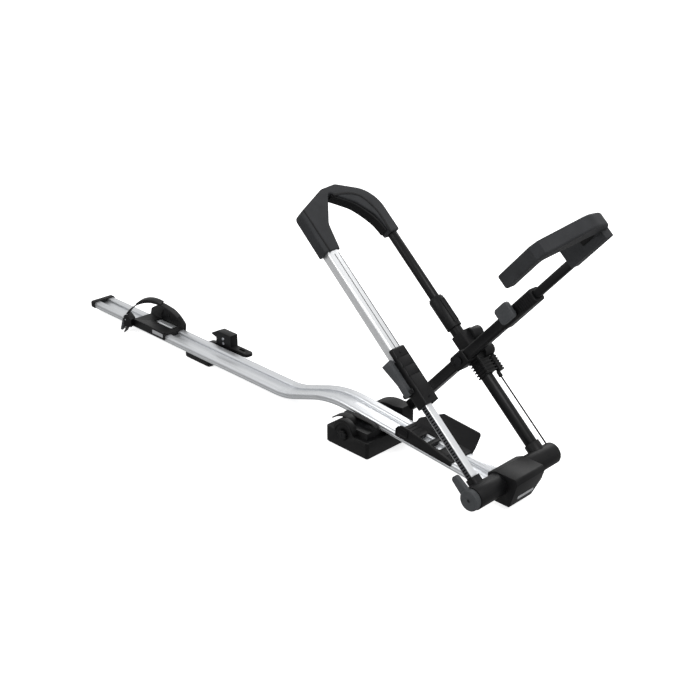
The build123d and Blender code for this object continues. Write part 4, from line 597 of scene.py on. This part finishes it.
class CARRIER_OT_front_foot_trim(bpy.types.Operator):
    """Cover flaps and raised rim of the front foot"""
    bl_idname = "carrier.front_foot_trim"
    bl_label = "Front Foot Trim"

    def execute(self, context):
        nylon = bpy.data.materials["Grained black nylon"]
        rim = smoothed([at(x, -91, z) for x, z in
                        ((-38, 44), (-30, 58), (-16, 70), (-2, 74), (11, 69), (18, 58), (24, 47),
                         (36, 41.5), (52, 40), (68, 40))], 4)
        band = strip(rim, ACROSS * 3.4 * MM, 3.6 * MM, 0.9 * MM)
        settle(band, "front_foot_rim", nylon, "carrier_frame")
        low = smoothed([at(x, -64, z) for x, z in
                        ((-63, 61), (-53, 68), (-41, 74), (-27, 78), (-13, 77), (-2, 69),
                         (3, 57))], 4)
        flap = strip(low, ACROSS * 22 * MM, 3.4 * MM, 1.0 * MM)
        settle(flap, "front_foot_low_flap", nylon, "carrier_frame")
        high = smoothed([at(x, -44, z) for x, z in
                         ((-47, 73), (-24, 75), (14, 74), (44, 73), (62, 66))], 4)
        cover = strip(high, ACROSS * 12 * MM, 3.4 * MM, 1.0 * MM)
        settle(cover, "front_foot_high_flap", nylon, "carrier_frame")
        return {"FINISHED"}


class CARRIER_OT_hinge_trim(bpy.types.Operator):
    """Blank label on the hinge housing"""
    bl_idname = "carrier.hinge_trim"
    bl_label = "Hinge Trim"

    def execute(self, context):
        slope = Vector((62, 0, -18)).normalized()
        label = pad(at(457.6, 16, 33) + slope * 0.3 * MM, ACROSS, slope,
                    (56 * MM, 8 * MM, 1.2 * MM), 2 * MM, 0.25 * MM)
        settle(label, "housing_label", bpy.data.materials["Blank label film"], "carrier_frame")
        return {"FINISHED"}


class CARRIER_OT_leg_trim(bpy.types.Operator):
    """Near-black strips as painted shade in the grooves, ribs and screws on the legs, the carriage
    and the crossed arm
    """
    bl_idname = "carrier.leg_trim"
    bl_label = "Leg Trim"

    def execute(self, context):
        nylon = bpy.data.materials["Grained black nylon"]
        steel = bpy.data.materials["Blackened steel"]
        skin = bpy.data.materials["Dark cushion rubber and groove shade"]
        # Painted shade: a near-black strip along the carriage's seam groove
        seam = strip([on_leg(reach, -95, CARRIAGE_SEAM_OUT) for reach in (246, 280, 330, 362)],
                     LEG_OUT * 1.2 * MM, 1.8 * MM, 0.2 * MM)
        settle(seam, "carriage_seam_shade", skin, "hoop_upper")
        heads = [screw(on_leg(reach, -79, CARRIAGE_SCREW_OUT), LEG_OUT, 3.6 * MM, 1.8 * MM)
                 for reach in (240, 358)]
        settle(joined(heads), "carriage_screws", steel, "hoop_upper")
        panel = pad(on_leg(406, 127, 18.2), LEG_ALONG, LEG_OUT, (66 * MM, 15 * MM, 4 * MM),
                    3 * MM, 0.7 * MM, 2.4 * MM, 0.9 * MM)
        settle(panel, "collar_panel", nylon, "hoop_lower")
        # Painted shade: near-black strips along the flutes of the outer tube
        flutes = [strip([on_leg(reach, y, OUTER_TUBE_FACE_OUT) for reach in (372, 460, 560, 632)],
                        LEG_OUT * 0.8 * MM, 1.1 * MM, 0.1 * MM) for y in (-80, -67)]
        settle(joined(flutes), "leg_flute_shade", skin, "hoop_upper")
        first = pad(on_arm(238, SLEEVE_FACE_Y, 0), LEG_ALONG, -ACROSS,
                    (26 * MM, 2.4 * MM, 1.8 * MM), 1 * MM, 0.5 * MM)
        ribs = [first] + [copied(first, LEG_OUT * step * 7 * MM) for step in range(1, 7)]
        settle(joined(ribs), "sleeve_ribs", nylon, "folding_arm")
        heads = [screw(on_arm(up, ARM_HUB_FACE_Y, 0), -ACROSS, 3.6 * MM, 1.8 * MM)
                 for up in (-19, 19)]
        settle(joined(heads), "arm_hub_screws", steel, "folding_arm")
        return {"FINISHED"}


class CARRIER_OT_cradle_trim(bpy.types.Operator):
    """Catch plate and tread of the front cradle"""
    bl_idname = "carrier.cradle_trim"
    bl_label = "Cradle Trim"

    def execute(self, context):
        nylon = bpy.data.materials["Grained black nylon"]
        catch = pad(on_deck(136, TRAY_SIDE_WALL_Y, 29), DECK_ALONG, -ACROSS,
                    (34 * MM, 24 * MM, 3.0 * MM), 5 * MM, 0.7 * MM, 3 * MM, 1.0 * MM)
        settle(catch, "cradle_catch", nylon, "front_cradle")
        first = pad(on_deck(124, 0, 20.6), ACROSS, DECK_UP, (48 * MM, 3 * MM, 1.6 * MM),
                    1.2 * MM, 0.5 * MM)
        bars = [first] + [copied(first, DECK_ALONG * step * MM) for step in (12, 138, 150)]
        settle(joined(bars), "cradle_tread", nylon, "front_cradle")
        return {"FINISHED"}


class CARRIER_OT_rear_trim(bpy.types.Operator):
    """A blank plate, strap teeth and bracket screws at the rear wheel"""
    bl_idname = "carrier.rear_trim"
    bl_label = "Rear Trim"

    def execute(self, context):
        film = bpy.data.materials["Blank label film"]
        plate = pad(at(-829, TRAY_SIDE_WALL_Y, 36), Vector((1, 0, 0)), -ACROSS,
                    (50 * MM, 11 * MM, 1.2 * MM), 2 * MM, 0.25 * MM)
        settle(plate, "holder_side_label", film, "wheel_holder")
        teeth = []
        for reach, z, rise in ((15, 65, 52), (19, 70, 50), (23, 75, 48), (27, 79.5, 46),
                               (31.5, 84, 44), (36, 88, 41)):
            up = -STRAP_ALONG * math.sin(math.radians(rise)) + Vector((0, 0, 1)) * math.cos(
                math.radians(rise))
            teeth.append(pad(on_strap(reach, z) + up * 1.2 * MM, STRAP_SIDE, up,
                             (16 * MM, 2.2 * MM, 2.0 * MM), 0.8 * MM, 0.4 * MM))
        settle(joined(teeth), "strap_teeth", bpy.data.materials["Smooth strap rubber"],
               "wheel_holder")
        heads = [screw(at(x, 47.6, z), -ACROSS, 4.2 * MM, 2.4 * MM) for x, z in
                 ((-636, 52), (-636, 38))]
        settle(joined(heads), "bracket_screws", bpy.data.materials["Zinc plated steel"],
               "carrier_frame")
        return {"FINISHED"}


class CARRIER_PT_sidebar(bpy.types.Panel):
    """Lists the carrier's making steps"""
    bl_idname = "CARRIER_PT_sidebar"
    bl_label = "Bike Carrier"
    bl_space_type = "VIEW_3D"
    bl_region_type = "UI"
    bl_category = "Carrier"

    def draw(self, context):
        sizes = context.scene.carrier_sizes
        for name in ("black", "silver", "tray"):
            self.layout.prop(sizes, name)
        for step in OPERATORS:
            self.layout.operator(step.bl_idname)


OPERATORS = (CARRIER_OT_stage, CARRIER_OT_finishes, CARRIER_OT_arch_trim, CARRIER_OT_hook_trim,
             CARRIER_OT_front_foot_trim, CARRIER_OT_hinge_trim, CARRIER_OT_leg_trim,
             CARRIER_OT_cradle_trim, CARRIER_OT_rear_trim)
CLASSES = (CarrierSizes, *OPERATORS, CARRIER_PT_sidebar)


def register():
    for made in CLASSES:
        bpy.utils.register_class(made)
    bpy.types.Scene.carrier_sizes = bpy.props.PointerProperty(type=CarrierSizes)


def unregister():
    del bpy.types.Scene.carrier_sizes
    for made in reversed(CLASSES):
        bpy.utils.unregister_class(made)


def main():
    register()
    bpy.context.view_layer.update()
    for step in OPERATORS:
        group, name = step.bl_idname.split(".")
        getattr(getattr(bpy.ops, group), name)()


if __name__ == "__main__":
    main()
